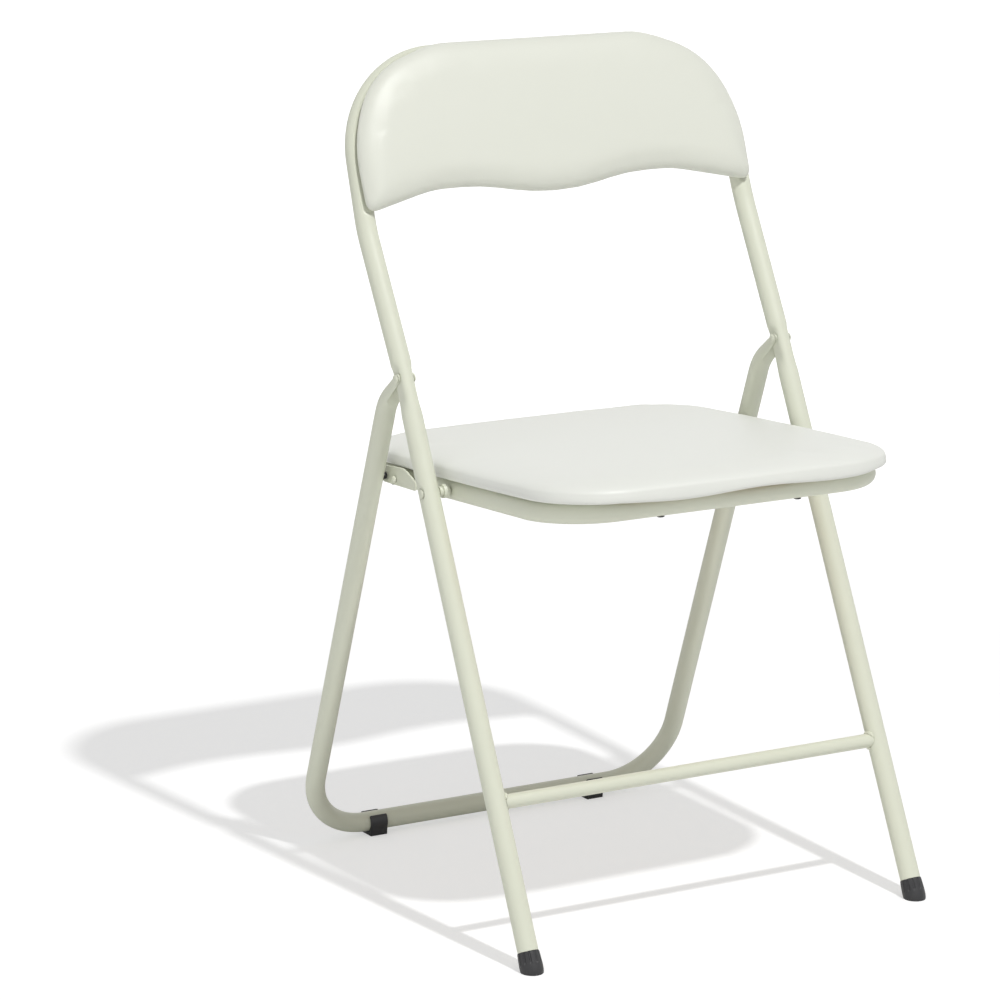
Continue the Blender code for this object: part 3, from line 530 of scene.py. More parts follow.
def turned(name, profile, sides=32, bored=False):
    """A new piece turned about Z: a disc or ring drawn out to each row of radius and height."""
    fill = "NOTHING" if bored else "NGON"
    radius, height = profile[0]
    start = (0.0, 0.0, height)
    bpy.ops.mesh.primitive_circle_add(vertices=sides, radius=radius, fill_type=fill, location=start)
    piece = named(name)
    open_mesh()
    for wider, higher in profile[1:]:
        draw_out((0.0, 0.0, higher - height))
        share = wider / radius
        bpy.ops.transform.resize(value=(share, share, 1.0), center_override=(0.0, 0.0, higher))
        radius, height = wider, higher
    if bored:
        bpy.ops.mesh.select_all(action="DESELECT")
        bpy.ops.mesh.select_mode(type="EDGE")
        bpy.ops.mesh.select_non_manifold()
        bpy.ops.mesh.bridge_edge_loops()
        bpy.ops.mesh.select_mode(type="VERT")
    close_mesh()
    closed_up(piece)
    return piece


def copy_of(pattern, name, place):
    """A copy of a piece with a mesh of its own, put in its place."""
    twin = put_in(name, pattern.data.copy())
    twin.data.name = name
    twin.data.transform(place)
    return twin


plug = turned("plug_pattern", plug_rows, 144)
for point in plug.data.vertices:
    radius = math.hypot(point.co.x, point.co.y)
    if radius < plug_skirt or point.co.z < groove_floor:
        continue
    pitch = 2 * math.pi / groove_count
    beside = abs((math.atan2(point.co.y, point.co.x) + 0.3 * pitch) % pitch - pitch / 2) / groove_half
    below = max(0.0, groove_end - point.co.z) / groove_round
    inside = math.hypot(beside, below)
    if inside < 1.0:
        share = 1.0 - groove_depth * (1.0 - inside ** 4) / radius
        point.co.x *= share
        point.co.y *= share
for name, side in both_sides:
    upright = on_side(leg_up, side).to_track_quat("Z", "Y").to_matrix().to_4x4()
    made = copy_of(plug, "foot_plug_" + name, Matrix.Translation(on_side(foot, side)) @ upright)
    only(made)
    open_mesh()
    bpy.ops.mesh.bisect(plane_co=(0, 0, sole_height), plane_no=(0, 0, -1), use_fill=True, clear_outer=True)
    bpy.ops.mesh.bevel(offset=sole_round, segments=4, clamp_overlap=True)
    close_mesh()
    closed_up(made, 40.0)
    settle(made, black_plastic, "front_frame", "black_plastic", "front_foot_cap_" + name)
put_away(plug)


# Rear leg tube
# The second bent tube: both rear legs and the bar on the floor. Its upper ends are bent forward, pressed
# narrower and slotted, so that their two cheeks straddle the flats on the front legs.
rear_bar = Vector((0.0, 0.225389, 0.0130))
setback = 0.0205
fork_length = 0.046
fork_socket = 0.012
fork_turn, fork_bend = math.radians(30.0), 0.045
fork_wall = 0.0013
fork_end_radius = 0.0058
cheek = flat_half + fit_gap
slot_back = tube_radius + 0.0007
slot_start = 0.0060
bar_bend = 0.065
to_bar = Vector((rear_bar.y - leg_pivot.y, rear_bar.z - leg_pivot.z))
fall = math.atan2(to_bar.y, to_bar.x) - math.asin(setback / to_bar.length)
leg_down = Vector((0.0, math.cos(fall), math.sin(fall)))
leg_back = Vector((0.0, -leg_down.z, leg_down.y))
pivot_middle = Vector((0.0, leg_pivot.y, leg_pivot.z))
fork_sides = 48


def fork_spot(back, down, out, side):
    """A spot on a fork: back from the pivot, down along the leg, and out from the leg's middle plane."""
    return pivot_middle + leg_back * back + leg_down * down + across * (side * leg_pivot.x + out)


def fork_stations():
    """Places up the bent end from its straight socket to its tip, each with its heading."""
    knee_down = setback / math.tan(fork_turn)
    reach = fork_bend * math.tan(fork_turn / 2)
    stations = [(setback, fork_length + fork_socket * share, 0.0) for share in (0.6, 0.2)]
    last = knee_down + reach
    stations += [(setback, fork_length + (last - fork_length) * share, 0.0) for share in (0.2, 0.6)]
    for step in range(13):
        turn = fork_turn * step / 12
        stations.append((setback - fork_bend * (1 - math.cos(turn)), last - fork_bend * math.sin(turn), turn))
    start_back, start_down, _ = stations[-1]
    for step in range(1, 9):
        share = step / 8
        stations.append((start_back * (1 - share), start_down * (1 - share), fork_turn))
    for share in (0.25, 0.45, 0.62, 0.76, 0.87, 0.94, 0.98, 0.998):
        past = fork_end_radius * share
        stations.append((-past * math.sin(fork_turn), -past * math.cos(fork_turn), fork_turn))
    return stations


def fork_rows(side):
    """Rings of points up the bent end: round like the leg at first, then narrower, with a round tip."""
    stations = fork_stations()
    lengths = [0.0]
    for low, high in zip(stations, stations[1:]):
        lengths.append(lengths[-1] + math.hypot(high[0] - low[0], high[1] - low[1]))
    full = lengths[-1] - fork_end_radius
    wide = cheek + fork_wall
    rows = []
    for (back, down, turn), gone in zip(stations, lengths):
        share = min(1.0, gone / full)
        ease = eased(share)
        past = max(0.0, -(back * math.sin(fork_turn) + down * math.cos(fork_turn)))
        deep = tube_radius + (fork_end_radius - tube_radius) * share
        deep = math.sqrt(max(1e-8, deep ** 2 - past ** 2))
        broad = tube_radius + (wide - tube_radius) * min(1.0, 1.25 * ease)
        power = 2.0 / (2.0 + 1.4 * ease)
        row = []
        for index in range(fork_sides):
            angle = 2 * math.pi * index / fork_sides
            out = math.copysign(abs(math.cos(angle)) ** power, math.cos(angle)) * broad
            depth = math.copysign(abs(math.sin(angle)) ** power, math.sin(angle)) * deep
            row.append(fork_spot(back + depth * math.cos(turn), down - depth * math.sin(turn), out, side))
        rows.append(row)
    return rows


leg_top = fork_spot(setback, fork_length + fork_socket, 0.0, 1)
rear_corners = both_halves([leg_top, Vector((leg_pivot.x, *rear_bar.yz))])
rear_tube = ring("rear_tube", tube_radius, rear_corners[0], leg_down, fork_sides)
run_along(rear_corners, [0.0, bar_bend, bar_bend, 0.0])
shape = bmesh.from_edit_mesh(rear_tube.data)
for side, end in ((1, rear_corners[0]), (-1, rear_corners[-1])):
    rim = [p for p in shape.verts if abs((p.co - end).dot(leg_down)) < 1e-5 and (p.co - end).length < 0.01]
    rim.sort(key=lambda p: math.atan2((p.co - end).dot(leg_back), p.co.x - end.x) % (2 * math.pi - 1e-4))
    for row in fork_rows(side):
        grown = [shape.verts.new(point) for point in row]
        for index in range(fork_sides):
            after = (index + 1) % fork_sides
            shape.faces.new((rim[index], rim[after], grown[after], grown[index]))
        rim = grown
    shape.faces.new(rim)
bmesh.update_edit_mesh(rear_tube.data)
close_mesh()
closed_up(rear_tube)

clear = 6 * fork_end_radius
slot_corners = [(-clear, -clear), (clear, -clear), (clear, slot_start), (slot_back, slot_start)]
slot_corners += [(slot_back, fork_length), (-clear, fork_length)]


def one_point(name, at):
    """A new piece, in edit mode, that is only a point."""
    bpy.ops.mesh.primitive_circle_add(vertices=3, radius=0.001, location=at)
    piece = named(name)
    open_mesh()
    bpy.ops.mesh.merge(type="CENTER")
    return piece


def join_ends():
    """Closes the line that has come back to its start, and leaves all of it selected."""
    bpy.ops.mesh.select_all(action="SELECT")
    bpy.ops.mesh.remove_doubles(threshold=weld)
    bpy.ops.mesh.select_all(action="SELECT")


def draw_outline(name, corners, radii, step=math.radians(6.0)):
    """A new piece, in edit mode, that is one closed line with a bend of its own radius at each corner."""
    begin = (corners[0] + corners[-1]) / 2
    piece = one_point(name, begin)
    run_along([begin, *corners, begin], [0.0, *radii, 0.0], step)
    join_ends()
    return piece


def round_edges(piece, width, segments, angle):
    """Rounds the edges that turn by more than an angle."""
    edge = piece.modifiers.new("round_edges", "BEVEL")
    edge.width = width
    edge.segments = segments
    edge.limit_method = "ANGLE"
    edge.angle_limit = math.radians(angle)
    only(piece)
    bpy.ops.object.modifier_apply(modifier="round_edges")


for side in (1, -1):
    outline = [fork_spot(back, down, -cheek, side) for back, down in slot_corners]
    slot_tool = draw_outline("slot_tool", outline, [0.0] * len(outline))
    bpy.ops.mesh.edge_face_add()
    draw_out((2 * cheek, 0.0, 0.0))
    close_mesh()
    closed_up(slot_tool)
    cut(rear_tube, slot_tool)
    drill(rear_tube, fork_spot(0.0, 0.0, 0.0, side), rivet_hole, bit_length)
round_edges(rear_tube, width=0.0004, segments=2, angle=50.0)
closed_up(rear_tube, 40.0)
coated(rear_tube, "rear_frame", "rear_leg_tube")


# Rear glides
# Two black plastic saddles snapped round the rear bar from below, open at the top, with a thick flat sole
# on the floor and well rounded edges.
glide_inside = tube_radius + fit_gap
glide_outside = glide_inside + 0.0026
glide_width = 0.0185
glide_lip = math.radians(42.0)
glide_foot = Vector((0.0, 0.0105, -(rear_bar.z - sole_height)))


def saddle_spot(radius, angle):
    return Vector((0.0, radius * math.cos(angle), radius * math.sin(angle)))


def swing(steps, angle):
    """Draws the line on round the bar's axis."""
    bpy.ops.mesh.spin(steps=steps, angle=angle, center=(0, 0, 0), axis=across)


glide = one_point("glide_pattern", saddle_spot(glide_outside, glide_lip))
low = math.radians(25.0)
swing(14, glide_lip + low)
draw_out(glide_foot - saddle_spot(glide_outside, -low))
draw_out((0.0, -2 * glide_foot.y, 0.0))
draw_out(saddle_spot(glide_outside, math.pi + low) - Vector((0.0, -glide_foot.y, glide_foot.z)))
swing(14, glide_lip + low)
draw_out(saddle_spot(glide_inside, math.pi - glide_lip) - saddle_spot(glide_outside, math.pi - glide_lip))
swing(48, -math.pi - 2 * glide_lip)
draw_out(saddle_spot(glide_outside, glide_lip) - saddle_spot(glide_inside, glide_lip))
join_ends()
bpy.ops.mesh.edge_face_add()
bpy.ops.transform.translate(value=(-glide_width / 2, 0.0, 0.0))
draw_out((glide_width, 0.0, 0.0))
close_mesh()
closed_up(glide)
round_edges(glide, width=0.0009, segments=3, angle=40.0)
closed_up(glide, 50.0)
for name, place in (("left", -0.1292), ("right", 0.1190)):
    made = copy_of(glide, "bar_glide_" + name, Matrix.Translation((place, rear_bar.y, rear_bar.z)))
    settle(made, black_plastic, "rear_frame", "black_plastic", "rear_glide_" + name)
put_away(glide)


# Leg pivot rivets
# Steel rivets through both fork cheeks and the front leg between them, headed over into low domes and
# coated with the frame.
rivet_radius = 0.0030
dome = [(0.0042, 0.0), (0.0044, 0.0003), (0.0043, 0.0007), (0.0039, 0.0011), (0.0031, 0.0015)]
dome += [(0.0020, 0.0018), (0.0009, 0.0019)]


def rivet(name, near, far):
    """A rivet along Z with a low dome outside each of two faces."""
    profile = [(radius, near - height) for radius, height in reversed(dome)]
    profile += [(rivet_radius, near), (rivet_radius, far)]
    profile += [(radius, far + height) for radius, height in dome]
    return turned(name, profile)


def sideways(point, side):
    """A place on the chair's side whose Z axis points out to that side."""
    return Matrix.Translation(point) @ Matrix.Rotation(side * math.pi / 2, 4, "Y")


head_face = cheek + fork_wall + fit_gap
pattern = rivet("rivet_pattern", -head_face, head_face)
for name, side in both_sides:
    made = copy_of(pattern, "leg_rivet_" + name, sideways(on_side(leg_pivot, side), side))
    coated(made, "front_frame", "leg_pivot_rivet_" + name)
put_away(pattern)


# Backrest board and pad
# A plywood board under foam, covered in smooth sage vinyl that is pulled over the edges and stapled down
# behind. The lower edge is cut in a wave, and the pad hides the hoop at the top.
board_thickness = 0.0050
wrap = 0.0090
crown = 0.0028
hem = 0.018
hem_thickness = 0.0008
pad_lift = tube_radius + fit_gap

sage_vinyl = (0.716, 0.727, 0.650, 1.0)
sage_vinyl_deep = (0.696, 0.710, 0.626, 1.0)


def vinyl_finish(name, pale, deep):
    """Smooth vinyl: a clouded tone, fine pebbled grain, and a soft gloss."""
    gloss = {"Specular IOR Level": 0.5, "Coat Weight": 0.6, "Coat Roughness": 0.43}
    finish, shader, spot = new_finish(name, gloss)
    cloud = spot.noise(7.0, 3.0)
    pebble = spot.node(
        "ShaderNodeTexVoronoi", {"feature": "SMOOTH_F1"}, {"Vector": spot, "Scale": 850.0, "Smoothness": 0.6}
    )
    tone = cloud.shades(deep, pale)
    skin = (pebble + spot.noise(2600.0, 2.0) * 0.3).bump(0.22, 0.00010)
    feed(shader, {"Base Color": tone, "Roughness": cloud * 0.10 + pebble * 0.06 + 0.46, "Normal": skin})
    return finish


back_vinyl = vinyl_finish("sage_vinyl_finish", sage_vinyl, sage_vinyl_deep)

birch = (0.545, 0.400, 0.245, 1.0)
birch_dark = (0.400, 0.270, 0.150, 1.0)
plywood, shader, spot = new_finish("plywood_finish", {"Specular IOR Level": 0.3})
stretched = spot.node("ShaderNodeMapping", {}, {"Vector": spot, "Scale": (6.0, 60.0, 60.0)})
figure = stretched.noise(4.0, 5.0, Distortion=0.6)
pore = stretched.noise(30.0, 2.0)
tone = figure.shades(birch_dark, birch)
skin = (pore + figure).bump(0.3, 0.0002)
feed(shader, {"Base Color": tone, "Roughness": pore * 0.2 + 0.55, "Normal": skin})


def even_loop(corners, radii, count):
    """Points evenly spaced along a closed line with rounded corners, from the middle of its first side."""
    piece = draw_outline("loop_line", corners, radii)
    close_mesh()
    begin = (corners[0] + corners[-1]) / 2
    spots = [point.co.copy() for point in piece.data.vertices]
    links = [[] for spot in spots]
    for link in piece.data.edges:
        first, second = link.vertices
        links[first].append(second)
        links[second].append(first)
    order = [min(range(len(spots)), key=lambda index: (spots[index] - begin).length)]
    order.append(max(links[order[0]], key=lambda index: spots[index].x))
    while len(order) < len(links):
        order.append(next(index for index in links[order[-1]] if index != order[-2]))
    line = [spots[index] for index in order + order[:1]]
    put_away(piece)
    lengths = [0.0]
    for low, high in zip(line, line[1:]):
        lengths.append(lengths[-1] + (high - low).length)
    loop = []
    index = 0
    for step in range(count):
        gone = lengths[-1] * step / count
        while lengths[index + 1] < gone:
            index += 1
        share = (gone - lengths[index]) / (lengths[index + 1] - lengths[index])
        loop.append(line[index].lerp(line[index + 1], share))
    return loop


def drawn_in(loop, inset, rise):
    """A loop drawn in by an inset on every side, at a rise above its plane."""
    low = Vector((min(point.x for point in loop), min(point.y for point in loop)))
    high = Vector((max(point.x for point in loop), max(point.y for point in loop)))
    middle, half = (low + high) / 2, (high - low) / 2
    wide, tall = 1.0 - inset / half.x, 1.0 - inset / half.y
    return [
        Vector((middle.x + (p.x - middle.x) * wide, middle.y + (p.y - middle.y) * tall, rise)) for p in loop
    ]


def filled_in(points, faces, rim, columns):
    """Fills a row of points with a grid of squares, between its bottom, right, top and left stretches."""
    count = len(rim)
    levels = count // 2 - columns
    half = columns // 2
    bottom = [rim[(step - half) % count] for step in range(columns + 1)]
    right = [rim[half + step] for step in range(levels + 1)]
    top = [rim[half + levels + columns - step] for step in range(columns + 1)]
    left = [rim[(count - half - step) % count] for step in range(levels + 1)]
    grid = {}
    for column in range(columns + 1):
        grid[column, 0], grid[column, levels] = bottom[column], top[column]
    for level in range(levels + 1):
        grid[0, level], grid[columns, level] = left[level], right[level]
    for level in range(1, levels):
        for column in range(1, columns):
            u, v = column / columns, level / levels
            spot = points[left[level]] * (1 - u) + points[right[level]] * u
            spot += points[bottom[column]] * (1 - v) + points[top[column]] * v
            spot -= (points[bottom[0]] * (1 - u) + points[bottom[-1]] * u) * (1 - v)
            spot -= (points[top[0]] * (1 - u) + points[top[-1]] * u) * v
            grid[column, level] = len(points)
            points.append(spot)
    for level in range(levels):
        for column in range(columns):
            near, far = grid[column, level], grid[column + 1, level]
            faces.append((near, far, grid[column + 1, level + 1], grid[column, level + 1]))


def cushion(name, loop, columns, tuck, wall, height, fall, power):
    """A pad over a board: a recess, a hem turned under, soft sides, and a top that rises to its middle."""
    roof = board_thickness + fit_gap
    fold, under = hem_thickness + 0.00015, 0.00005
    rows = [(wrap, roof), (wrap, fold), (hem, fold), (hem, 0.00012), (0.0125, 0.00008), (0.0090, under)]
    for turn in (0.0, 22.0, 42.0, 60.0, 76.0, 90.0):
        turn = math.radians(turn)
        rows.append((tuck * (1.0 - math.sin(turn)), tuck * (1.0 - math.cos(turn)) + under))
    rows += [(0.0, 0.5 * (tuck + wall)), (0.0, wall)]
    rows += [(inset, None) for inset in (0.0003, 0.0010, 0.0022, 0.0040, 0.0065, 0.0095, 0.0130, 0.0170)]
    count = len(loop)
    line = numpy.array([point[:2] for point in loop])
    runs = numpy.roll(line, -1, axis=0) - line
    lengths = numpy.linalg.norm(runs, axis=1)

    def rise_at(spot):
        """The top's height: steep at the edge, then ever flatter, by the spot's distance from the edge."""
        beside = numpy.array(spot[:2]) - line
        along = numpy.clip((beside * runs).sum(axis=1) / lengths ** 2, 0.0, 1.0)
        away = numpy.linalg.norm(beside - along[:, None] * runs, axis=1)
        nearest = away.min()
        soft = ((away ** -5.0 * lengths).sum() / 1.3333) ** -0.25
        mix = eased((nearest - 0.005) / 0.011)
        distance = soft * mix + nearest * (1.0 - mix)
        near, far = min(1.0, distance / fall), min(1.0, distance / (6 * fall))
        edge = (height - wall) * (1.0 - (1.0 - near) ** 2.4) ** (1 / power)
        return wall + edge + crown * (1.0 - (1.0 - far) ** 2)

    points = []
    for inset, rise in rows:
        row = drawn_in(loop, inset, rise or 0.0)
        if inset == hem:
            for step, point in enumerate(row):
                trim = 0.0008 * math.sin(step * 0.31) + 0.0004 * math.sin(step * 0.83 + 1.0)
                row[step] = point + (loop[step].to_3d() - point.xy.to_3d()).normalized() * trim
        if rise is None:
            for point in row:
                point.z = rise_at(point)
        points += row
    faces = []
    for index in range(len(rows) - 1):
        low, high = index * count, (index + 1) * count
        for step in range(count):
            after = (step + 1) % count
            faces.append((low + step, low + after, high + after, high + step))
    filled_in(points, faces, list(range(count)), columns)
    first = len(points)
    filled_in(points, faces, list(range((len(rows) - 1) * count, len(rows) * count)), columns)
    for point in points[first:]:
        point.z = rise_at(point)
    mesh = bpy.data.meshes.new(name)
    mesh.from_pydata(points, [], faces)
    pad = put_in(name, mesh)
    closed_up(pad, 180.0)
    return pad


def plump(pad, held, most):
    """Swells the cover with cloth simulation: points that are held stay, and none moves further than most."""
    start = [point.co.copy() for point in pad.data.vertices]
    pins = pad.vertex_groups.new(name="stapled")
    pins.add([point.index for point in pad.data.vertices if held(point.co)], 1.0, "REPLACE")
    cloth = pad.modifiers.new("swell", "CLOTH")
    cloth.settings.vertex_group_mass = "stapled"
    cloth.settings.use_pressure = True
    cloth.settings.uniform_pressure_force = 4.0
    cloth.settings.effector_weights.gravity = 0.0
    cloth.point_cache.frame_start = 1
    cloth.point_cache.frame_end = 20
    for step in range(1, 21):
        scene.frame_set(step)
    only(pad)
    bpy.ops.object.modifier_apply(modifier="swell")
    scene.frame_set(1)
    for point, from_here in zip(pad.data.vertices, start):
        moved = point.co - from_here
        if moved.length > 1e-7:
            point.co = from_here + moved * (most * math.tanh(moved.length / most) / moved.length)
    pad.vertex_groups.clear()


def smoothed(pad):
    only(pad)
    soft = pad.modifiers.new("soft", "SUBSURF")
    soft.levels = soft.render_levels = 1
    bpy.ops.object.modifier_apply(modifier="soft")
    bpy.ops.object.shade_smooth()


def board_under(name, loop):
    """The plywood board in a pad's recess, just clear of the hem."""
    low = hem_thickness + 0.0003
    board = put_in(name, bpy.data.meshes.new(name))
    board.data.from_pydata(drawn_in(loop, wrap + fit_gap, low), [], [tuple(range(len(loop)))])
    only(board)
    open_mesh()
    draw_out((0.0, 0.0, board_thickness - low))
    close_mesh()
    closed_up(board)
    return board


wave_right = [(0.0177, 0.1470, 0.223), (0.0740, 0.1591, 0.206), (0.1239, 0.1593, 0.125)]
wave_right.append((0.2082, 0.1415, 0.008))
wave_left = [(0.0307, 0.1468, 0.223), (0.0870, 0.1571, 0.206), (0.1369, 0.1569, 0.125)]
wave_left.append((0.2082, 0.1391, 0.008))
round_top = [(0.2099, 0.2026, 0.124), (0.1842, 0.2694, 0.087), (0.1126, 0.2936, 0.085)]
back_turns = wave_right + round_top
back_turns += [(-out, rise, radius) for out, rise, radius in reversed(wave_left + round_top)]
back_corners = [Vector((out, rise, 0.0)) for out, rise, radius in back_turns]
back_loop = even_loop(back_corners, [radius for out, rise, radius in back_turns], 240)
back_place = hoop_place @ Matrix.Translation((0.0, 0.0, pad_lift))
tip = min(range(120), key=lambda step: back_loop[step].y)
back_wall = 0.0036
back_pad = cushion(
    "backrest_cover", back_loop, 2 * tip, tuck=0.0030, wall=back_wall, height=0.0150, fall=0.026, power=1.8
)
plump(back_pad, lambda spot: spot.z < 0.0040, most=0.0005)
smoothed(back_pad)
back_pad.data.transform(back_place)
settle(back_pad, back_vinyl, "front_frame", "sage_vinyl", "backrest_pad")
back_board = board_under("backrest_ply", back_loop)
back_board.data.transform(back_place)
settle(back_board, plywood, "front_frame", "plywood", "backrest_board")


# Backrest screws
# Four dark steel screws with round cross heads, turned and driven from behind through the hoop into the
# board. They hold the backrest on, and the pad hides them from the front.
screw_radius = 0.0020
dark_steel, shader, spot = new_finish("dark_screw_steel_finish", {"Metallic": 1.0})
scratch = spot.noise(900.0, 4.0)
tone = scratch.shades((0.10, 0.10, 0.10, 1.0), (0.22, 0.22, 0.22, 1.0))
feed(shader, {"Base Color": tone, "Roughness": scratch * 0.25 + 0.28})

screw_rows = [(0.0010, -0.00105), (0.0019, -0.00100), (0.0027, -0.00082), (0.0033, -0.00050)]
screw_rows += [(0.0035, -0.00015), (0.0035, 0.0), (screw_radius, 0.0), (screw_radius, 0.0222)]
screw_rows.append((0.0010, 0.0231))
screw_pattern = turned("screw_pattern", screw_rows, 24)
for turn in (0.0, math.pi / 2):
    bpy.ops.mesh.primitive_cube_add(
        size=1.0, location=(0.0, 0.0, -0.0009), rotation=(0.0, 0.0, turn), scale=(0.0034, 0.0007, 0.0010)
    )
    cut(screw_pattern, named("cross_tool"))
closed_up(screw_pattern)


def drive_screw(name, place, body, node):
    made = copy_of(screw_pattern, name, place @ Matrix.Translation((0.0, 0.0, -tube_radius - fit_gap)))
    settle(made, dark_steel, body, "dark_screw_steel", node)


for level, rise in (("lower", 0.205), ("upper", 0.258)):
    for name, side in both_sides:
        node = "backrest_screw_{}_{}".format(level, name)
        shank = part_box(node)
        place = hoop_place @ Matrix.Translation(((shank[0].x + shank[1].x) / 2, rise, 0.0))
        drive_screw("back_screw_{}_{}".format(level, name), place, "front_frame", node)


# Seat frame tube
# A U of the same steel tube under the seat board, its two rails running back past the legs, with black plugs
# in the open rear ends.
rail_half, rail_bend = 0.17477, 0.058
rail_bore = 0.014
seat_tilt = math.radians(-2.9)
rail_front, rail_rear, rail_drop = 0.180, 0.150, 0.0010
seat_place = Matrix.Translation((0.0, seat_pivot.y, seat_pivot.z)) @ Matrix.Rotation(seat_tilt, 4, "X")
rail_right = [seat_place @ Vector((rail_half, back, -rail_drop)) for back in (rail_rear, -rail_front)]
seat_corners = both_halves(rail_right)
seat_ahead = seat_place.to_3x3() @ Vector((0.0, -1.0, 0.0))
seat_tube = ring("seat_tube", tube_radius, seat_corners[0], seat_ahead)
run_along(seat_corners, [0.0, rail_bend, rail_bend, 0.0])
for end in (seat_corners[0], seat_corners[-1]):
    sink_bore(end, seat_ahead, rail_bore)
close_mesh()
closed_up(seat_tube)
coated(seat_tube, "seat", "seat_frame_tube")

end_rows = [(0.0064, -0.0100), (0.0080, -0.0080), (0.0080, 0.0003), (0.0092, 0.0003), (0.0095, 0.0006)]
end_rows += [(0.0095, 0.0011), (0.0092, 0.0015), (0.0081, 0.0018)]
pattern = turned("end_plug_pattern", end_rows)
for name, side in both_sides:
    place = seat_place @ Matrix.Translation((side * rail_half, rail_rear, -rail_drop))
    made = copy_of(pattern, "rail_plug_" + name, place @ Matrix.Rotation(-math.pi / 2, 4, "X"))
    settle(made, black_plastic, "seat", "black_plastic", "seat_tube_plug_" + name)
put_away(pattern)


# Seat pivots
# On each side a coated rivet runs through the front leg, a turned spacer with a neck at each end, and the
# seat rail. Its head lies in the leg's dimple, and the seat turns on it.
side_gap = 0.0113
near = tube_radius + fit_gap
far = tube_radius + side_gap - fit_gap
shoulder = far - 0.0035
spacer_rows = [(0.0032, near), (0.0043, near), (0.0043, near + 0.0016), (0.0061, near + 0.0016)]
spacer_rows += [(0.0064, near + 0.0020), (0.0064, shoulder - 0.0006), (0.0061, shoulder)]
spacer_rows += [(0.0046, shoulder), (0.0046, far), (0.0032, far)]
spacer = turned("spacer_pattern", spacer_rows, 40, bored=True)
pattern = rivet("rivet_pattern", -near, seat_pivot.x + dimple_floor + fit_gap - rail_half)
for name, side in both_sides:
    place = seat_place @ sideways(Vector((side * rail_half, 0.0, 0.0)), side)
    coated(copy_of(spacer, "pivot_spacer_" + name, place), "seat", "seat_pivot_spacer_" + name)
    coated(copy_of(pattern, "seat_rivet_" + name, place), "seat", "seat_pivot_rivet_" + name)
put_away(spacer, pattern)


# Seat board and pad
# A plywood board under foam and the same vinyl as the backrest, its colour painted paler here as painted
# light for the brighter light on the seat's top. It is pulled down tight over the edges and stapled
# underneath. The front edge is a little uneven from the pulling, with small gathers at one corner.
seat_half, seat_front, seat_rear = 0.18507, 0.2105, 0.1940
seat_corner, seat_bow = 0.075, 0.0028
line = both_halves([Vector((seat_half, -seat_front, 0.0)), Vector((seat_half, seat_rear, 0.0))])
seat_loop = even_loop(line, [seat_corner] * 4, 240)
for point in seat_loop:
    if abs(point.x) > seat_half - weld:
        share = (point.y + seat_front - seat_corner) / (seat_front + seat_rear - 2 * seat_corner)
        point.x += math.copysign(4 * share * (1 - share) * seat_bow, point.x)
    elif point.y < -seat_front + weld or point.y > seat_rear - weld:
        share = (point.x + seat_half - seat_corner) / (2 * (seat_half - seat_corner))
        point.y += math.copysign(4 * share * (1 - share) * seat_bow, point.y)
seat_wall = 0.0085
seat_pad = cushion(
    "seat_cover", seat_loop, 60, tuck=0.0030, wall=seat_wall, height=0.0182, fall=0.035, power=2.2
)
plump(seat_pad, lambda spot: spot.z < 0.9 * seat_wall, most=0.0008)


def pulled_edge(spot):
    """How far the vinyl's lower edge hangs above or below its line, along the front."""
    front = min(1.0, max(0.0, (-spot.y - 0.150) / 0.045))
    low = max(0.0, 1.0 - spot.z / (1.2 * seat_wall))
    outer = min(1.0, max(0.0, (max(abs(spot.x) - seat_half, -spot.y - seat_front) + 0.010) / 0.006))
    sway = -0.0010 - 0.0015 * math.cos(2 * math.pi * (spot.x + 0.064) / 0.162)
    corner = math.exp(-((spot.x + 0.155) / 0.030) ** 2)
    gather = 0.0007 * corner * math.sin(spot.x * 620 + spot.y * 400) * (0.6 + 0.4 * math.sin(spot.x * 233))
    return (sway + gather) * front * low * outer


for point in seat_pad.data.vertices:
    point.co.z += pulled_edge(point.co)
smoothed(seat_pad)
seat_lift = seat_place @ Matrix.Translation((0.0, 0.0, pad_lift))
seat_pad.data.transform(seat_lift)
# Painted light: the seat's vinyl colour is painted paler than the backrest's, for the brighter light on its
# top.
vinyl_painted_lit = (0.782, 0.792, 0.745, 1.0)
vinyl_painted_lit_deep = (0.764, 0.776, 0.722, 1.0)
seat_finish_painted_lit = vinyl_finish("vinyl_painted_lit_finish", vinyl_painted_lit, vinyl_painted_lit_deep)
settle(seat_pad, seat_finish_painted_lit, "seat", "sage_vinyl", "seat_pad")
seat_board = board_under("seat_ply", seat_loop)
seat_board.data.transform(seat_lift)
settle(seat_board, plywood, "seat", "plywood", "seat_board")


# Seat screws
# Four more of the dark steel screws with cross heads, driven up through the seat tube into the board: two
# under the front of the tube and one under each rail.
for name, side in both_sides:
    for end, out, back in (("front", 0.0725, -rail_front), ("rear", rail_half, 0.120)):
        place = seat_place @ Matrix.Translation((side * out, back, -rail_drop))
        node = "seat_screw_{}_{}".format(end, name)
        drive_screw(node + "_steel", place, "seat", node)
put_away(screw_pattern)


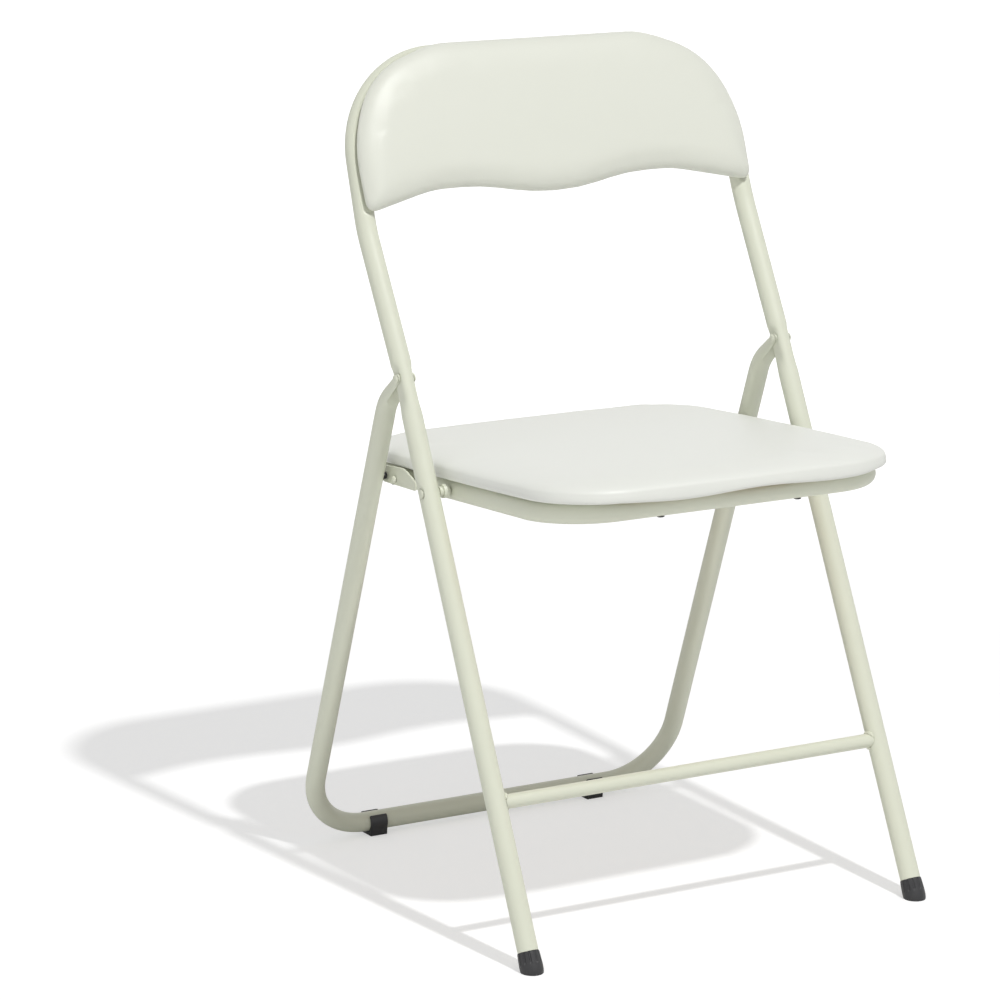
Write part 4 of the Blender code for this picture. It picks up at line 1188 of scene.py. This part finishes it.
# Link plates
# Stamped steel plates, flat below and arched above, that tie each seat rail to the rear leg and carry a domed
# stud. The rear end turns on a pin through a black collar, and the front end meets a pin in the rail.
link_outer, link_inner = 0.19108, 0.18908
leg_pin = Vector((0.0, 0.081007, 0.3926))
seat_pin = Vector((0.0, 0.030289, 0.3913))
rear_end, front_end, link_crown = 0.0085, 0.0048, 0.0050
rear_drop, front_drop = 0.0070, 0.0033
pin_hole, stud_hole, plate_bit = 0.0027, 0.00195, 0.01
reach = seat_pin - leg_pin
link_length = reach.length
link_lie = Matrix.Translation(leg_pin) @ Matrix.Rotation(math.atan2(-reach.z, -reach.y), 4, "X")
plate_line = [
    (rear_end, -rear_drop), (rear_end, rear_end), (-0.65 * link_length, rear_end + link_crown),
    (-link_length - front_end, front_end), (-link_length - front_end, -front_drop),
]
plate_radii = [0.7 * rear_end, rear_end, 0.035, 0.8 * front_end, 0.6 * front_end]
stud_spot = Vector((0.0, -0.0170, -0.0002))
stud_rows = [(0.00175, -0.0020), (0.00175, 0.0003), (0.0033, 0.0003), (0.0035, 0.0006), (0.0035, 0.0011)]
stud_rows += [(0.0033, 0.0017), (0.0027, 0.0023), (0.0016, 0.0027), (0.0006, 0.0028)]
pin_rows = [(0.0022, link_inner - leg_pivot.x), (0.0025, link_inner - leg_pivot.x + 0.0003)]
pin_rows += [(0.0025, -0.0053), (0.0038, -0.0053), (0.0038, -0.0038)]
collar_start, collar_end = link_outer + fit_gap - leg_pivot.x, -tube_radius - fit_gap
collar_rows = [(pin_hole, collar_start), (0.0030, collar_start), (0.0032, collar_start + fit_gap)]
collar_rows += [(0.0032, collar_end), (pin_hole, collar_end)]
rail_pin_rows = [(0.0025, 0.0030), (0.0025, 0.0137), (0.0022, link_inner - fit_gap - rail_half)]
stud = turned("stud_pattern", stud_rows)
pin = turned("pin_pattern", pin_rows)
collar = turned("collar_pattern", collar_rows, bored=True)
rail_pin = turned("rail_pin_pattern", rail_pin_rows)
for name, side in both_sides:
    body = "link_" + name
    start = min(side * link_inner, side * link_outer)
    line = [Vector((start, back, up)) for back, up in plate_line]
    plate = draw_outline("plate_" + name, line, plate_radii, math.radians(4.0))
    bpy.ops.mesh.edge_face_add()
    draw_out((link_outer - link_inner, 0.0, 0.0))
    close_mesh()
    closed_up(plate)
    middle = side * (link_outer + link_inner) / 2
    drill(plate, Vector((middle, 0.0, 0.0)), pin_hole, plate_bit)
    drill(plate, Vector((middle, *stud_spot.yz)), stud_hole, plate_bit)
    round_edges(plate, width=0.00035, segments=2, angle=50.0)
    closed_up(plate, 50.0)
    plate.data.transform(link_lie)
    coated(plate, body, "link_plate_" + name)

    place = link_lie @ sideways(Vector((side * link_outer, *stud_spot.yz)), side)
    coated(copy_of(stud, "plate_stud_" + name, place), body, "link_stud_" + name)
    place = sideways(Vector((side * leg_pivot.x, *leg_pin.yz)), side)
    coated(copy_of(pin, "leg_pin_" + name, place), "rear_frame", "link_leg_pin_" + name)
    made = copy_of(collar, "pin_collar_" + name, place)
    settle(made, black_plastic, "rear_frame", "black_plastic", "link_spacer_" + name)
    rail_spot = seat_place.inverted() @ seat_pin
    place = seat_place @ sideways(Vector((side * rail_half, *rail_spot.yz)), side)
    coated(copy_of(rail_pin, "rail_pin_" + name, place), "seat", "link_seat_pin_" + name)
put_away(stud, pin, collar, rail_pin)
